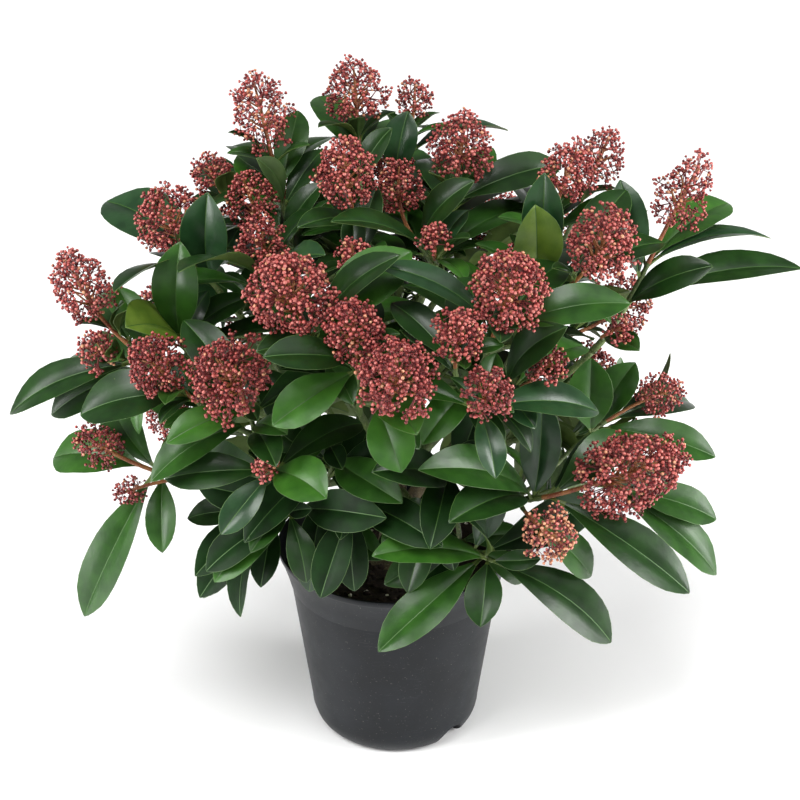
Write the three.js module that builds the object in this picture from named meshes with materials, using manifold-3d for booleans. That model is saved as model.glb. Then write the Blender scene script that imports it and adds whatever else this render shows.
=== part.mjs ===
// A skimmia in a plastic nursery pot: an evergreen shrub whose shoots end in domed heads of
// closed flower buds. Millimetres, +Z up. The origin is the middle of the pot's flat underside,
// and -Y is the side the plant is looked at from.
//
// A short trunk stands on the peat and forks into leaders, each leader carries boughs, and each
// bough carries one mass: a stem that branches into leafy shoots. Pot, peat, trunk, leaders,
// boughs and masses are separate solids that stay CLEARANCE apart.

import * as THREE from "three";
import { mergeVertices } from "three/addons/utils/BufferGeometryUtils.js";
import Module from "manifold-3d";

const wasm = await Module();
wasm.setup();

// ---- Driving dimensions -------------------------------------------------------------------

const POT = {
  height: 166,
  rimRadius: 95,
  collarRadius: 84.6, // where the flared collar meets the body
  collarHeight: 33.5,
  collarStep: 0.6, // the collar's lower edge stands this far out of the body
  baseRadius: 69.3,
  cornerAcross: 15, // the rounded foot: how far it runs in over the underside
  cornerUp: 22, // and how far it runs up the side
  wall: 1.8,
  floor: 2.4,
  segments: 32,
};
const DRAIN = { turns: [45, 165, 285], width: 29, height: 17, depth: 16 }; // notches in the foot
const PEAT = { topBelowRim: 15, segments: 24 };
const PEAT_TOP = POT.height - PEAT.topBelowRim;

const CLEARANCE = 0.35; // between any two solids
const SLIVER = 0.1; // edges shorter than this are closed up after a cut
const TRUNK = { height: 44, footRadius: 13, topRadius: 9.5, flare: 0.75, flareHeight: 9 };
const TRUNK_LEAN = [3, -4]; // how far the trunk's top stands off its foot
const LEADER = { radii: [6.2, 4.6], steps: 5, sides: 6 };
const BOUGH = { radii: [3.9, 2.9], steps: 4, sides: 4 };
const BOUGH_SAG = 0.12; // of its length, at the middle: boughs run out, then turn up
const STEM_LENGTH = 10; // of a mass's own stem, before its first fork
const FORK_PITCH = 7; // and from one fork to the next
const NECK = 6; // from the bottom of a flower head to where its shoot's leaves may start
const MAIN_TWIG = { radii: [3.3, 2.2], steps: 5, sides: 3 };
const SIDE_TWIG = { radii: [2.6, 2.1], steps: 4, sides: 3 };

// Shares of a leaf's length, but length and thickness: its width, how high it bows, and how
// far along it its outline turns in; the outline there is given in halves of its width. Fold is
// the rise of its margins over its midrib, in halves of its width.
const LEAF = {
  length: 98,
  thickness: 1.9,
  width: 0.34,
  bow: 0.11,
  fold: 0.26,
  shoulder: { share: 0.36, across: 0.88 },
  belly: { share: 0.7, across: 0.94 },
  thickest: 0.55,
};
// The leaves under a flower head: the bare stalk over them, from one root to the next, the turn
// from one to the next, and how wide the first opens from the shoot and each later one adds.
const WHORL = { count: 8, bare: 12, pitch: 5.2, golden: 137.5, open: 44, spread: 7.5 };
// A shoot with few leaves of its own has a level fan of them on the far side, this many, from one
// turn to the next, and its leaves rise this much for each step out.
const FAN = { fewLeaves: 3, count: 2, from: 40, step: 80, rise: 0.12 };
const BLOOM = {
  sides: 7,
  rings: [[-0.75, 0.62], [-0.25, 0.98], [0.5, 0.82]], // of half its height, of half its width
  lobe: 1.22,
  lobeSides: [1, 4],
};

const LEAF_GAP = 0.7; // between a leaf and what it may not touch
const BLADE_START = 0.22; // of a leaf's length: from here it may not cross its own shoot either
const STALK_END = 0.1; // and from here not the other shoots of its mass
const SWING_TURNS = [0, 12, -12, 24, -24, 36, -36]; // degrees round the shoot, to find room
const SWING_TILTS = [0, 9, -9]; // and degrees towards or away from it

const CROWN_HEART = [0, 0, 300]; // shoots lean away from this point
const LIGHT = [0, -0.5, 0.85]; // the side that the boldest leaves face

// ---- The shrub's layout ---------------------------------------------------------------------

const LEADERS = {
  leader_left: { to: [-62, -8, 268], bend: [-16, -4, 232] },
  leader_right: { to: [66, -4, 270], bend: [22, -2, 230] },
  leader_front: { to: [-4, -66, 272], bend: [2, -26, 232] },
  leader_back: { to: [4, 66, 276], bend: [4, 24, 236] },
  leader_middle: { to: [-4, 6, 348], bend: [4, 6, 260] },
};

// heart: the middle of a flower head, or of a bud where there is none; bloom: its width and
// height; lean: 0 is an upright shoot and 1 one that points straight out of the crown, or axis:
// the way it points; leaves: how many stand in its whorl, which starts at turn; fan: how many
// stand in its fan; tips: where the tips of its boldest leaves are, each with how far down the
// shoot its leaf is rooted and, where it doesn't lie flat to the light, the degrees it is rolled
// round its own line.
const MASSES = {
  top_left: {
    from: ["leader_middle", 0.78],
    fork: [-72, 22, 402],
    shoots: [
      {
        heart: [-100, 40, 515],
        bloom: [48, 66],
        leaves: 0,
        tips: [[-80, 70, 510, 24], [-115, 16, 486, 34], [-55, 60, 478, 36]],
      },
      { heart: [-140, 50, 462], bloom: [36, 38], leaves: 0, tips: [[-135, 30, 395, 20]] },
      { heart: [-108, 8, 458], bloom: [44, 46], leaves: 0, tips: [[-55, 25, 464, 20]] },
    ],
  },
  top_middle: {
    from: ["leader_middle", 1],
    fork: [-18, 18, 400],
    shoots: [
      {
        heart: [-30, 70, 520],
        bloom: [52, 56],
        leaves: 1,
        turn: 90,
        tips: [[-18, 100, 494, 16], [-38, 100, 492, 22], [-3, 40, 502, 34]],
      },
      { heart: [15, 92, 506], bloom: [34, 38], leaves: 1, turn: 100, tips: [[10, 70, 505, 40]] },
      {
        heart: [-35, -20, 490],
        bloom: [46, 60],
        leaves: 0,
        tips: [[-70, -40, 455, 12], [-55, 0, 475, 22]],
      },
      { heart: [-30, -58, 440], bloom: [30, 28], leaves: 1, turn: 90, tips: [[-17, -10, 475, 20]] },
    ],
  },
  top_right: {
    from: ["leader_middle", 0.9],
    fork: [28, 6, 396],
    shoots: [
      {
        heart: [50, 20, 495],
        bloom: [52, 58],
        leaves: 0,
        tips: [[122, 40, 486, 10], [75, 60, 480, 24]],
      },
      { heart: [3, 8, 466], bloom: [40, 48], leaves: 0, tips: [[49, -15, 490, 20]] },
      { heart: [30, -40, 446], bloom: [28, 26], leaves: 2, turn: 60 },
    ],
  },
  left_high: {
    from: ["leader_left", 0.9],
    fork: [-108, -2, 352],
    shoots: [
      {
        heart: [-168, 0, 446],
        bloom: [60, 56],
        leaves: 2,
        turn: 100,
        tips: [[-226, 75, 430, 14], [-129, -10, 479, 24]],
      },
      { heart: [-98, -30, 440], bloom: [40, 40], leaves: 4, turn: 250 },
    ],
  },
  left: {
    from: ["leader_left", 1],
    fork: [-128, -24, 312],
    shoots: [
      {
        heart: [-233, -30, 403],
        bloom: [48, 66],
        lean: 0.35,
        leaves: 1,
        turn: 190,
        tips: [[-210, 0, 390, 40]],
      },
      {
        heart: [-220, -58, 364],
        bloom: [34, 34],
        lean: 0.8,
        leaves: 0,
        turn: 280,
        tips: [[-292, -50, 308, 10], [-262, -40, 301, 26]],
      },
      {
        heart: [-160, -50, 372],
        lean: 0.3,
        leaves: 0,
        tips: [[-155, -55, 448, 5], [-190, -92, 411, 9], [-138, -35, 402, 12], [-107, -35, 397, 8]],
      },
    ],
  },
  front_left: {
    from: ["leader_left", 0.72],
    fork: [-96, -84, 302],
    shoots: [
      { heart: [-168, -120, 382], bloom: [46, 54], leaves: 1, turn: 90, tips: [[-228, -115, 350, 4]] },
      {
        heart: [-116, -134, 380],
        bloom: [66, 60],
        leaves: 1,
        turn: 100,
        tips: [[-175, -140, 300, 26], [-160, -150, 345, 8]],
      },
    ],
  },
  front: {
    from: ["leader_front", 1],
    fork: [-22, -96, 326],
    shoots: [
      {
        heart: [-72, -126, 442],
        bloom: [64, 68],
        leaves: 1,
        turn: 5,
        tips: [[4, -92, 466, 6], [-90, -145, 415, 24]],
      },
      {
        heart: [-28, -150, 424],
        bloom: [46, 52],
        leaves: 0,
        tips: [[-85, -155, 352, 16], [-83, -170, 422, 6]],
      },
      {
        heart: [2, -178, 402],
        bloom: [60, 60],
        leaves: 1,
        turn: 5,
        tips: [[5, -172, 324, 30], [15, -190, 365, 24]],
      },
    ],
  },
  front_right: {
    from: ["leader_front", 0.82],
    fork: [44, -86, 322],
    shoots: [
      {
        heart: [80, -130, 446],
        bloom: [60, 62],
        leaves: 0,
        tips: [[160, -120, 442, 8], [-4, -118, 468, 4]],
      },
      { heart: [44, -158, 424], bloom: [38, 44], leaves: 0, tips: [[-2, -100, 422, 12]] },
      { heart: [64, -174, 388], bloom: [42, 36], leaves: 0, tips: [[70, -190, 330, 10]] },
      { heart: [108, -124, 384], bloom: [32, 32], leaves: 1, turn: 107, tips: [[130, -135, 415, 24]] },
    ],
  },
  right_high: {
    from: ["leader_right", 0.86],
    fork: [98, -8, 358],
    shoots: [
      {
        heart: [128, 0, 482],
        bloom: [44, 54],
        leaves: 0,
        tips: [[109, -22, 489, 50], [87, -32, 466, 60]],
      },
      { heart: [158, 62, 471], bloom: [42, 54], leaves: 0, fan: 0 },
      { heart: [150, -60, 450], bloom: [54, 62], leaves: 1, turn: 90 },
    ],
  },
  right: {
    from: ["leader_right", 1],
    fork: [158, -6, 345],
    shoots: [
      {
        heart: [218, 20, 458],
        bloom: [44, 70],
        lean: 0.45,
        leaves: 0,
        tips: [
          [312, 20, 396, 52, -15],
          [290, 45, 396, 20, -35],
          [235, -25, 418, 56],
          [170, 25, 466, 34],
        ],
      },
      {
        heart: [166, -38, 372],
        bloom: [28, 26],
        lean: 0.8,
        leaves: 0,
        fan: 0,
        tips: [[186, -40, 361, 34]],
      },
    ],
  },
  right_low: {
    from: ["leader_right", 0.6],
    fork: [84, -62, 240],
    shoots: [
      {
        heart: [172, -114, 292],
        bloom: [64, 96],
        axis: [0.85, -0.1, 0.4],
        leaves: 1,
        turn: 40,
        tips: [[221, -122, 193, 14], [108, -90, 340, 30], [20, -165, 325, 30], [44, -150, 335, 36]],
      },
      {
        heart: [206, 0, 298],
        bloom: [34, 46],
        lean: 0.7,
        leaves: 0,
        tips: [[150, -20, 338, 34], [185, -5, 328, 24], [250, -30, 276, 26]],
      },
      {
        heart: [112, -156, 264],
        bloom: [44, 44],
        lean: 0.9,
        leaves: 0,
        tips: [[163, -110, 228, 8]],
      },
      {
        heart: [172, -50, 240],
        lean: 1,
        leaves: 0,
        tips: [[250, -50, 215, 5], [252, -62, 172, 8]],
      },
    ],
  },
  left_low: {
    from: ["leader_left", 0.5],
    fork: [-110, -40, 240],
    shoots: [
      {
        heart: [-224, -62, 287],
        bloom: [36, 46],
        axis: [-0.75, -0.1, 0.6],
        leaves: 0,
        tips: [[-271, -26, 266, 14], [-241, -85, 148, 20], [-176, -95, 212, 26]],
      },
      {
        heart: [-92, -146, 312],
        bloom: [22, 20],
        lean: 0.7,
        leaves: 0,
        tips: [[-125, -152, 262, 10], [-52, -172, 318, 4], [-166, -129, 295, 8]],
      },
      { heart: [-200, -78, 256], bloom: [26, 30], axis: [-0.9, -0.3, -0.2], leaves: 0 },
    ],
  },
  foot_left: {
    from: ["leader_front", 0.45],
    fork: [-48, -72, 232],
    shoots: [
      {
        heart: [-80, -112, 256],
        axis: [-0.3, -0.85, 0.2],
        leaves: 4,
        turn: 80,
        tips: [[-65, -135, 210, 4], [-140, -130, 218, 5], [-105, -140, 240, 8]],
      },
      {
        heart: [-30, -112, 266],
        axis: [0, -0.9, 0.3],
        leaves: 2,
        turn: 200,
        tips: [[-55, -140, 200, 4], [-30, -125, 196, 12]],
      },
      { heart: [-48, -88, 302], lean: 0.6, leaves: 7, turn: 40 },
      {
        heart: [-104, -62, 226],
        axis: [-0.8, -0.5, 0.1],
        leaves: 3,
        turn: 300,
        tips: [
          [-150, -95, 172, 4],
          [-150, -112, 203, 12],
          [-110, -100, 187, 10],
          [-160, -60, 222, 5],
        ],
      },
    ],
  },
  foot_right: {
    from: ["leader_front", 0.6],
    fork: [40, -84, 222],
    shoots: [
      {
        heart: [72, -124, 222],
        axis: [0.35, -0.85, 0.25],
        leaves: 0,
        tips: [
          [165, -130, 155, 5],
          [63, -160, 188, 6],
          [-12, -165, 170, 12],
          [-15, -160, 250, 4],
          [43, -160, 288, 8],
        ],
      },
      {
        heart: [24, -116, 260],
        axis: [0, -0.8, 0.5],
        leaves: 4,
        turn: 240,
        tips: [[-9, -140, 243, 4], [44, -140, 224, 5], [22, -146, 206, 8]],
      },
      { heart: [42, -100, 292], lean: 0.6, leaves: 5, turn: 255 },
    ],
  },
};

// Where the crown is open from the front right through to the back: rods that leaves keep out of.
const OPENINGS = [
  { from: [139, 24, 307], to: [162, 260, 189], radius: 15 },
  { from: [196, 24, 318], to: [229, 260, 202], radius: 14 },
];

// The far side isn't told apart shoot by shoot: three tiers of masses follow one rule.
const BACK_TIERS = [
  {
    name: "high",
    from: [["leader_back", 1], ["leader_back", 0.86]],
    between: [44, 136],
    fork: { radius: 76, height: 346 },
    shoots: { count: 3, radius: 128, height: 424, lean: 0.5, bloom: 52 },
  },
  {
    name: "mid",
    from: [["leader_right", 0.74], ["leader_back", 0.7], ["leader_left", 0.62]],
    between: [22, 158],
    fork: { radius: 100, height: 298 },
    shoots: { count: 3, radius: 206, height: 348, lean: 0.65, bloom: 52 },
  },
  {
    name: "low",
    from: [["leader_right", 0.45], ["leader_back", 0.5], ["leader_left", 0.38]],
    between: [0, 165],
    fork: { radius: 94, height: 230 },
    shoots: { count: 3, radius: 190, height: 258, lean: 0.9, bloom: 46 },
  },
];

const COLOURS = {
  pot: { color: 0x3c4046, roughness: 0.5 },
  peat: { color: 0x241a14, roughness: 0.95 },
  bark: { color: 0x6d6a45, roughness: 0.8 },
  mass: { color: 0x2f6b38, roughness: 0.45 },
};

// ---- Small tools ----------------------------------------------------------------------------

const vector = (p) => new THREE.Vector3(...p);
const radians = THREE.MathUtils.degToRad;
const UP = new THREE.Vector3(0, 0, 1);

function polar(radius, degrees, height) {
  return [radius * Math.cos(radians(degrees)), radius * Math.sin(radians(degrees)), height];
}

// A seeded stream of numbers from 0 to 1.
function seeded(seed) {
  let state = seed >>> 0;
  return () => {
    state = (state + 0x6d2b79f5) >>> 0;
    let t = state;
    t = Math.imul(t ^ (t >>> 15), t | 1);
    t ^= t + Math.imul(t ^ (t >>> 7), t | 61);
    return ((t ^ (t >>> 14)) >>> 0) / 4294967296;
  };
}

function meshGeometry(points, faces) {
  const geometry = new THREE.BufferGeometry();
  const flat = points.flatMap((p) => [p.x, p.y, p.z]);
  geometry.setAttribute("position", new THREE.Float32BufferAttribute(flat, 3));
  geometry.setIndex(faces.flat());
  return geometry;
}

function solidFrom(geometry) {
  const bare = geometry.clone();
  bare.deleteAttribute("normal");
  bare.deleteAttribute("uv");
  const merged = mergeVertices(bare, 1e-4);
  return new wasm.Manifold(
    new wasm.Mesh({
      numProp: 3,
      vertProperties: merged.attributes.position.array,
      triVerts: new Uint32Array(merged.index.array),
    }),
  );
}

function geometryFrom(solid) {
  const mesh = solid.getMesh();
  const geometry = new THREE.BufferGeometry();
  geometry.setAttribute("position", new THREE.BufferAttribute(mesh.vertProperties, 3));
  geometry.setIndex(new THREE.BufferAttribute(mesh.triVerts, 1));
  geometry.computeVertexNormals();
  return geometry;
}

const union = (solids) => wasm.Manifold.union(solids);

// The biggest body of a solid, without the slivers that cutting leaves on it.
function largestBody(solid) {
  const bodies = solid.simplify(SLIVER).decompose();
  return bodies.reduce((a, b) => (b.volume() > a.volume() ? b : a));
}

// Two directions square to a tangent, the first as near to the hint as it can be.
function frameOn(tangent, hint) {
  const first = hint.clone().addScaledVector(tangent, -hint.dot(tangent)).normalize();
  return [first, new THREE.Vector3().crossVectors(tangent, first)];
}

// ---- Limbs ----------------------------------------------------------------------------------

// A tapering tube round a curve, with flat ends; radiusAt gives its radius along the way.
function limbGeometry(curve, steps, sides, radiusAt) {
  const points = [];
  let hint = new THREE.Vector3(1, 0, 0);
  for (let i = 0; i <= steps; i++) {
    const u = i / steps;
    const middle = curve.getPoint(u);
    const tangent = curve.getTangent(u);
    const [across, over] = frameOn(tangent, hint);
    hint = across;
    for (let k = 0; k < sides; k++) {
      const turn = (2 * Math.PI * k) / sides;
      const spoke = across.clone().multiplyScalar(Math.cos(turn));
      spoke.addScaledVector(over, Math.sin(turn));
      points.push(middle.clone().addScaledVector(spoke, radiusAt(u)));
    }
  }
  const faces = [];
  for (let i = 0; i < steps; i++) {
    for (let k = 0; k < sides; k++) {
      const a = i * sides + k;
      const b = i * sides + ((k + 1) % sides);
      faces.push([a, b, b + sides], [a, b + sides, a + sides]);
    }
  }
  const last = steps * sides;
  for (let k = 1; k < sides - 1; k++) {
    faces.push([0, k + 1, k], [last, last + k, last + k + 1]);
  }
  return meshGeometry(points, faces);
}

const taper = ([foot, tip]) => (u) => foot + (tip - foot) * u;

function bent(from, bend, to) {
  return new THREE.QuadraticBezierCurve3(from, bend, to);
}

// ---- Pot and peat ---------------------------------------------------------------------------

function potProfile() {
  const { height, rimRadius, collarRadius, collarHeight, baseRadius, wall, floor } = POT;
  const collarFoot = height - collarHeight;
  const profile = [[0, 0]];
  const cornerSteps = 3;
  for (let i = 0; i <= cornerSteps; i++) {
    const a = (i / cornerSteps) * (Math.PI / 2);
    profile.push([
      baseRadius - POT.cornerAcross * (1 - Math.sin(a)),
      POT.cornerUp * (1 - Math.cos(a)),
    ]);
  }
  profile.push(
    [collarRadius, collarFoot],
    [collarRadius + POT.collarStep, collarFoot],
    [rimRadius, height - 1],
    [rimRadius - 0.8, height],
    [rimRadius - wall, height],
    [collarRadius - wall, collarFoot],
    [baseRadius - wall, POT.cornerUp],
    [baseRadius - POT.cornerAcross, floor],
    [0, floor],
  );
  return profile.map(([r, z]) => new THREE.Vector2(r, z));
}

function lathe(profile, segments) {
  const geometry = new THREE.LatheGeometry(profile, segments);
  return geometry.rotateX(Math.PI / 2).rotateZ(-Math.PI / 2);
}

// An arched notch through the foot, cut inwards from the side at the given turn.
function drainNotch(turn) {
  const arch = new THREE.Shape();
  arch.moveTo(-DRAIN.width / 2, -1);
  arch.lineTo(DRAIN.width / 2, -1);
  arch.quadraticCurveTo(DRAIN.width / 2, DRAIN.height, 0, DRAIN.height);
  arch.quadraticCurveTo(-DRAIN.width / 2, DRAIN.height, -DRAIN.width / 2, -1);
  const cutter = new THREE.ExtrudeGeometry(arch, {
    depth: DRAIN.depth,
    bevelEnabled: false,
    curveSegments: 4,
  });
  cutter.rotateX(Math.PI / 2); // now the arch stands up and runs along -Y
  cutter.translate(0, DRAIN.depth - POT.baseRadius - 4, 0);
  cutter.rotateZ(radians(turn));
  return solidFrom(cutter);
}

function potSolid() {
  const shell = solidFrom(lathe(potProfile(), POT.segments));
  return DRAIN.turns.reduce((pot, turn) => pot.subtract(drainNotch(turn)), shell);
}

// The peat fills the pot from just over the floor to a little below the rim.
function peatSolid() {
  const gap = POT.wall + CLEARANCE + 0.5;
  const foot = POT.floor + CLEARANCE;
  const collarFoot = POT.height - POT.collarHeight;
  const share = (PEAT_TOP - collarFoot) / POT.collarHeight;
  const topRadius = POT.collarRadius + (POT.rimRadius - POT.collarRadius) * share;
  const profile = [
    [0, foot],
    [POT.baseRadius - POT.cornerAcross - 2, foot],
    [POT.baseRadius - gap, POT.cornerUp],
    [POT.collarRadius - gap, collarFoot],
    [topRadius - gap, PEAT_TOP],
    [0, PEAT_TOP],
  ].map(([r, z]) => new THREE.Vector2(r, z));
  return solidFrom(lathe(profile, PEAT.segments));
}

// ---- Leaves and flower heads ------------------------------------------------------------------

// A leaf's own frame: its midrib bows over the straight line from root to tip, and its blade
// folds up a little from the midrib to both margins.
function leafFrame(leaf) {
  const chord = leaf.tip.clone().sub(leaf.root);
  const length = chord.length();
  const along = chord.clone().normalize();
  const [normal] = frameOn(along, leaf.facing);
  const side = new THREE.Vector3().crossVectors(along, normal);
  const half = (length * LEAF.width) / 2;
  const at = (share, across, lift) => {
    const bow = LEAF.bow * length * 4 * share * (1 - share);
    return leaf.root
      .clone()
      .addScaledVector(chord, share)
      .addScaledVector(side, across * half)
      .addScaledVector(normal, bow + Math.abs(across) * half * LEAF.fold + lift);
  };
  return { at, half };
}

// Twelve faces: six outline points, and one point over and one under the midrib. With extra
// it is that much larger all round, and it can start part way to its shoulder.
function leafSolid(leaf, extra = 0, start = 0) {
  const { at, half } = leafFrame(leaf);
  const wide = extra / half;
  const { shoulder, belly, thickest } = LEAF;
  const points = [
    at(start, 0, 0),
    at(shoulder.share, shoulder.across + wide, 0),
    at(belly.share, belly.across + wide, 0),
    at(1 + extra / LEAF.length, 0, 0),
    at(belly.share, -belly.across - wide, 0),
    at(shoulder.share, -shoulder.across - wide, 0),
    at(thickest, 0, LEAF.thickness / 2 + extra),
    at(thickest, 0, -LEAF.thickness / 2 - extra),
  ];
  const faces = [0, 1, 2, 3, 4, 5].flatMap((i) => [
    [i, (i + 1) % 6, 6],
    [(i + 1) % 6, i, 7],
  ]);
  return solidFrom(meshGeometry(points, faces));
}

// A head of buds: an ovoid, narrower at the top, whose rings are turned against each other so
// that it looks clumped. On two sides the clumps of its lower ring stand out as lobes.
function bloomSolid(shoot) {
  const [width, height] = shoot.bloom;
  const [across, over] = frameOn(shoot.axis, vector([0.3, 1, 0.1]));
  const at = (turn, out, rise) =>
    shoot.heart
      .clone()
      .addScaledVector(across, (Math.cos(turn) * out * width) / 2)
      .addScaledVector(over, (Math.sin(turn) * out * width) / 2)
      .addScaledVector(shoot.axis, (rise * height) / 2);
  const { sides, rings, lobe, lobeSides } = BLOOM;
  const points = rings.flatMap(([rise, out], ring) =>
    Array.from({ length: sides }, (_, k) => {
      const isLobe = ring === 1 && lobeSides.includes(k);
      const turn = (2 * Math.PI * (k + ring / 2)) / sides + radians(shoot.turn);
      return at(turn, isLobe ? lobe : out, rise);
    }),
  );
  const bottom = points.push(at(0, 0, -1)) - 1;
  const top = points.push(at(0, 0, 1)) - 1;
  const faces = [];
  for (let k = 0; k < sides; k++) {
    const next = (k + 1) % sides;
    faces.push([bottom, next, k]);
    for (let ring = 0; ring < rings.length - 1; ring++) {
      const low = ring * sides;
      const high = low + sides;
      faces.push([low + k, low + next, high + k], [low + next, high + next, high + k]);
    }
    const last = (rings.length - 1) * sides;
    faces.push([last + k, last + next, top]);
  }
  return solidFrom(meshGeometry(points, faces));
}

// ---- The rule that grows shoots -----------------------------------------------------------------

function backMasses() {
  const masses = {};
  BACK_TIERS.forEach((tier, tierIndex) => {
    const slice = (tier.between[1] - tier.between[0]) / tier.from.length;
    tier.from.forEach((from, i) => {
      const random = seeded(900 + 37 * tierIndex + i);
      const middle = tier.between[0] + slice * (i + 0.5);
      const { count, radius, height, lean, bloom } = tier.shoots;
      const shoots = Array.from({ length: count }, (_, k) => {
        const turn = middle + slice * ((k + 0.5) / count - 0.5) + 4 * (random() - 0.5);
        const rise = ((i * count + k) % 2 ? 26 : -26) + 10 * (random() - 0.5);
        const size = bloom * (0.85 + 0.25 * random());
        return {
          heart: polar(radius - 0.5 * rise, turn, height + rise),
          bloom: [size, size * 1.1],
          lean,
          turn: 360 * random(),
        };
      });
      const fork = polar(tier.fork.radius, middle, tier.fork.height);
      masses[`back_${tier.name}_${i + 1}`] = { from, fork, shoots };
    });
  });
  return masses;
}

// The point a given way down a row of knots, from its last one.
function downKnots(knots, way) {
  let left = way;
  for (let i = knots.length - 1; i > 0; i--) {
    const step = knots[i].distanceTo(knots[i - 1]);
    if (left <= step) return knots[i].clone().lerp(knots[i - 1], left / step);
    left -= step;
  }
  return knots[0].clone();
}

function lengthOf(knots) {
  return knots.slice(1).reduce((sum, knot, i) => sum + knot.distanceTo(knots[i]), 0);
}

// Fills in what a shoot's row leaves out: its axis, and the knots of the twig it grows from.
function grownShoot(row, form, start, forward, seed) {
  const heart = vector(row.heart);
  const out = heart.clone().sub(vector(CROWN_HEART)).normalize();
  const axis = row.axis ? vector(row.axis) : UP.clone().lerp(out, row.lean ?? 0.5);
  axis.normalize();
  const drop = row.bloom ? 0.5 * row.bloom[1] + NECK : 0;
  const reach = heart.distanceTo(start);
  const twig = new THREE.CubicBezierCurve3(
    start,
    start.clone().addScaledVector(forward, 0.25 * reach),
    heart.clone().addScaledVector(axis, -0.45 * reach - 0.3 * drop),
    heart,
  );
  const knots = twig.getPoints(form.steps);
  const random = seeded(seed);
  return { ...row, form, heart, axis, drop, twig, knots, turn: row.turn ?? 0, random };
}

// The first shoot's twig carries on from the bough; the others fork off it one by one.
function grownShoots(rows, foot, forward, seed) {
  const first = grownShoot(rows[0], MAIN_TWIG, foot, forward, seed);
  const upKnots = [...first.knots].reverse();
  const others = rows.slice(1).map((row, k) => {
    const start = downKnots(upKnots, STEM_LENGTH + FORK_PITCH * k);
    return grownShoot(row, SIDE_TWIG, start, forward, seed + k + 1);
  });
  return [first, ...others];
}

// The leaves of one shoot: first those whose tips are given, then a whorl down its twig and,
// where that has few, a level fan behind it.
function leavesOf(shoot) {
  const [across, over] = frameOn(shoot.axis, vector([1, 0.2, 0.1]));
  const facing = shoot.axis.clone().addScaledVector(UP, 0.5).normalize();
  const furthest = (0.85 - 0.2 * shoot.random()) * lengthOf(shoot.knots);
  const rootAt = (down) => downKnots(shoot.knots, Math.min(shoot.drop + down, furthest));
  const leaves = (shoot.tips ?? []).map(([x, y, z, down, roll = 0]) => {
    const root = rootAt(down);
    const tip = vector([x, y, z]);
    const along = tip.clone().sub(root).normalize();
    return { root, tip, facing: vector(LIGHT).applyAxisAngle(along, radians(roll)), bold: true };
  });
  const addLeaf = (i, along) => {
    const root = rootAt(WHORL.bare + WHORL.pitch * i);
    const reach = LEAF.length * (0.82 + 0.3 * shoot.random());
    leaves.push({ root, tip: root.clone().addScaledVector(along, reach), facing });
  };
  const whorl = shoot.leaves ?? WHORL.count;
  for (let i = 0; i < whorl; i++) {
    const turn = radians(shoot.turn + WHORL.golden * i + 24 * (shoot.random() - 0.5));
    const open = radians(WHORL.open + WHORL.spread * i + 14 * (shoot.random() - 0.5));
    const outward = across.clone().multiplyScalar(Math.cos(turn));
    outward.addScaledVector(over, Math.sin(turn));
    const along = shoot.axis.clone().multiplyScalar(Math.cos(open));
    addLeaf(i, along.addScaledVector(outward, Math.sin(open)));
  }
  const fan = shoot.fan ?? (whorl < FAN.fewLeaves ? FAN.count : 0);
  for (let i = 0; i < fan; i++) {
    const turn = FAN.from + FAN.step * i + 24 * (shoot.random() - 0.5);
    addLeaf(i + 1, vector(polar(1, turn, FAN.rise + 0.2 * (shoot.random() - 0.5))).normalize());
  }
  return leaves;
}

// ---- Putting the plant together -------------------------------------------------------------------

const placed = []; // every piece set so far, with its mass and, for a twig or leaf, its shoot

function place(solid, mass, shoot) {
  const { min, max } = solid.boundingBox();
  placed.push({ solid, mass, shoot, box: new THREE.Box3(vector(min), vector(max)) });
  return solid;
}

// True if the solid touches no piece that the test asks about.
function isFree(solid, asks) {
  const { min, max } = solid.boundingBox();
  const box = new THREE.Box3(vector(min), vector(max));
  return placed.every(
    (piece) => !asks(piece) || !piece.box.intersectsBox(box) ||
      solid.intersect(piece.solid).isEmpty(),
  );
}

const group = new THREE.Group();

function addNode(name, solid, look) {
  const material = new THREE.MeshStandardMaterial({ metalness: 0, ...COLOURS[look] });
  const mesh = new THREE.Mesh(geometryFrom(solid), material);
  mesh.name = name;
  group.add(mesh);
}

addNode("pot", place(potSolid(), "pot"), "pot");
addNode("peat", place(peatSolid(), "peat"), "peat");

// The trunk, with its foot flaring out over the peat.
const trunkFoot = vector([0, 0, PEAT_TOP + CLEARANCE]);
const trunkTop = vector([...TRUNK_LEAN, PEAT_TOP + TRUNK.height]);
const trunkCurve = bent(trunkFoot, vector([0, 0, PEAT_TOP + 0.6 * TRUNK.height]), trunkTop);
const trunkRadius = (u) =>
  taper([TRUNK.footRadius, TRUNK.topRadius])(u) +
  TRUNK.footRadius * TRUNK.flare * Math.exp((-u * TRUNK.height) / TRUNK.flareHeight);
const trunk = solidFrom(limbGeometry(trunkCurve, 8, 12, trunkRadius));
addNode("trunk", place(trunk, "trunk"), "bark");

// A limb that starts inside its carrier is trimmed back until it stands clear of it.
const limbs = {};
const fattened = [solidFrom(limbGeometry(trunkCurve, 8, 12, (u) => trunkRadius(u) + CLEARANCE))];

function growLimb(name, curve, { steps, sides, radii }) {
  const grown = solidFrom(limbGeometry(curve, steps, sides, taper(radii)));
  const trimmed = largestBody(fattened.reduce((limb, other) => limb.subtract(other), grown));
  const thicker = radii.map((r) => r + CLEARANCE);
  fattened.push(solidFrom(limbGeometry(curve, steps, sides, taper(thicker))));
  limbs[name] = curve;
  addNode(name, place(trimmed, name), "bark");
}

for (const [name, leader] of Object.entries(LEADERS)) {
  const start = trunkTop.clone().addScaledVector(UP, -8);
  growLimb(name, bent(start, vector(leader.bend), vector(leader.to)), LEADER);
}

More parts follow.
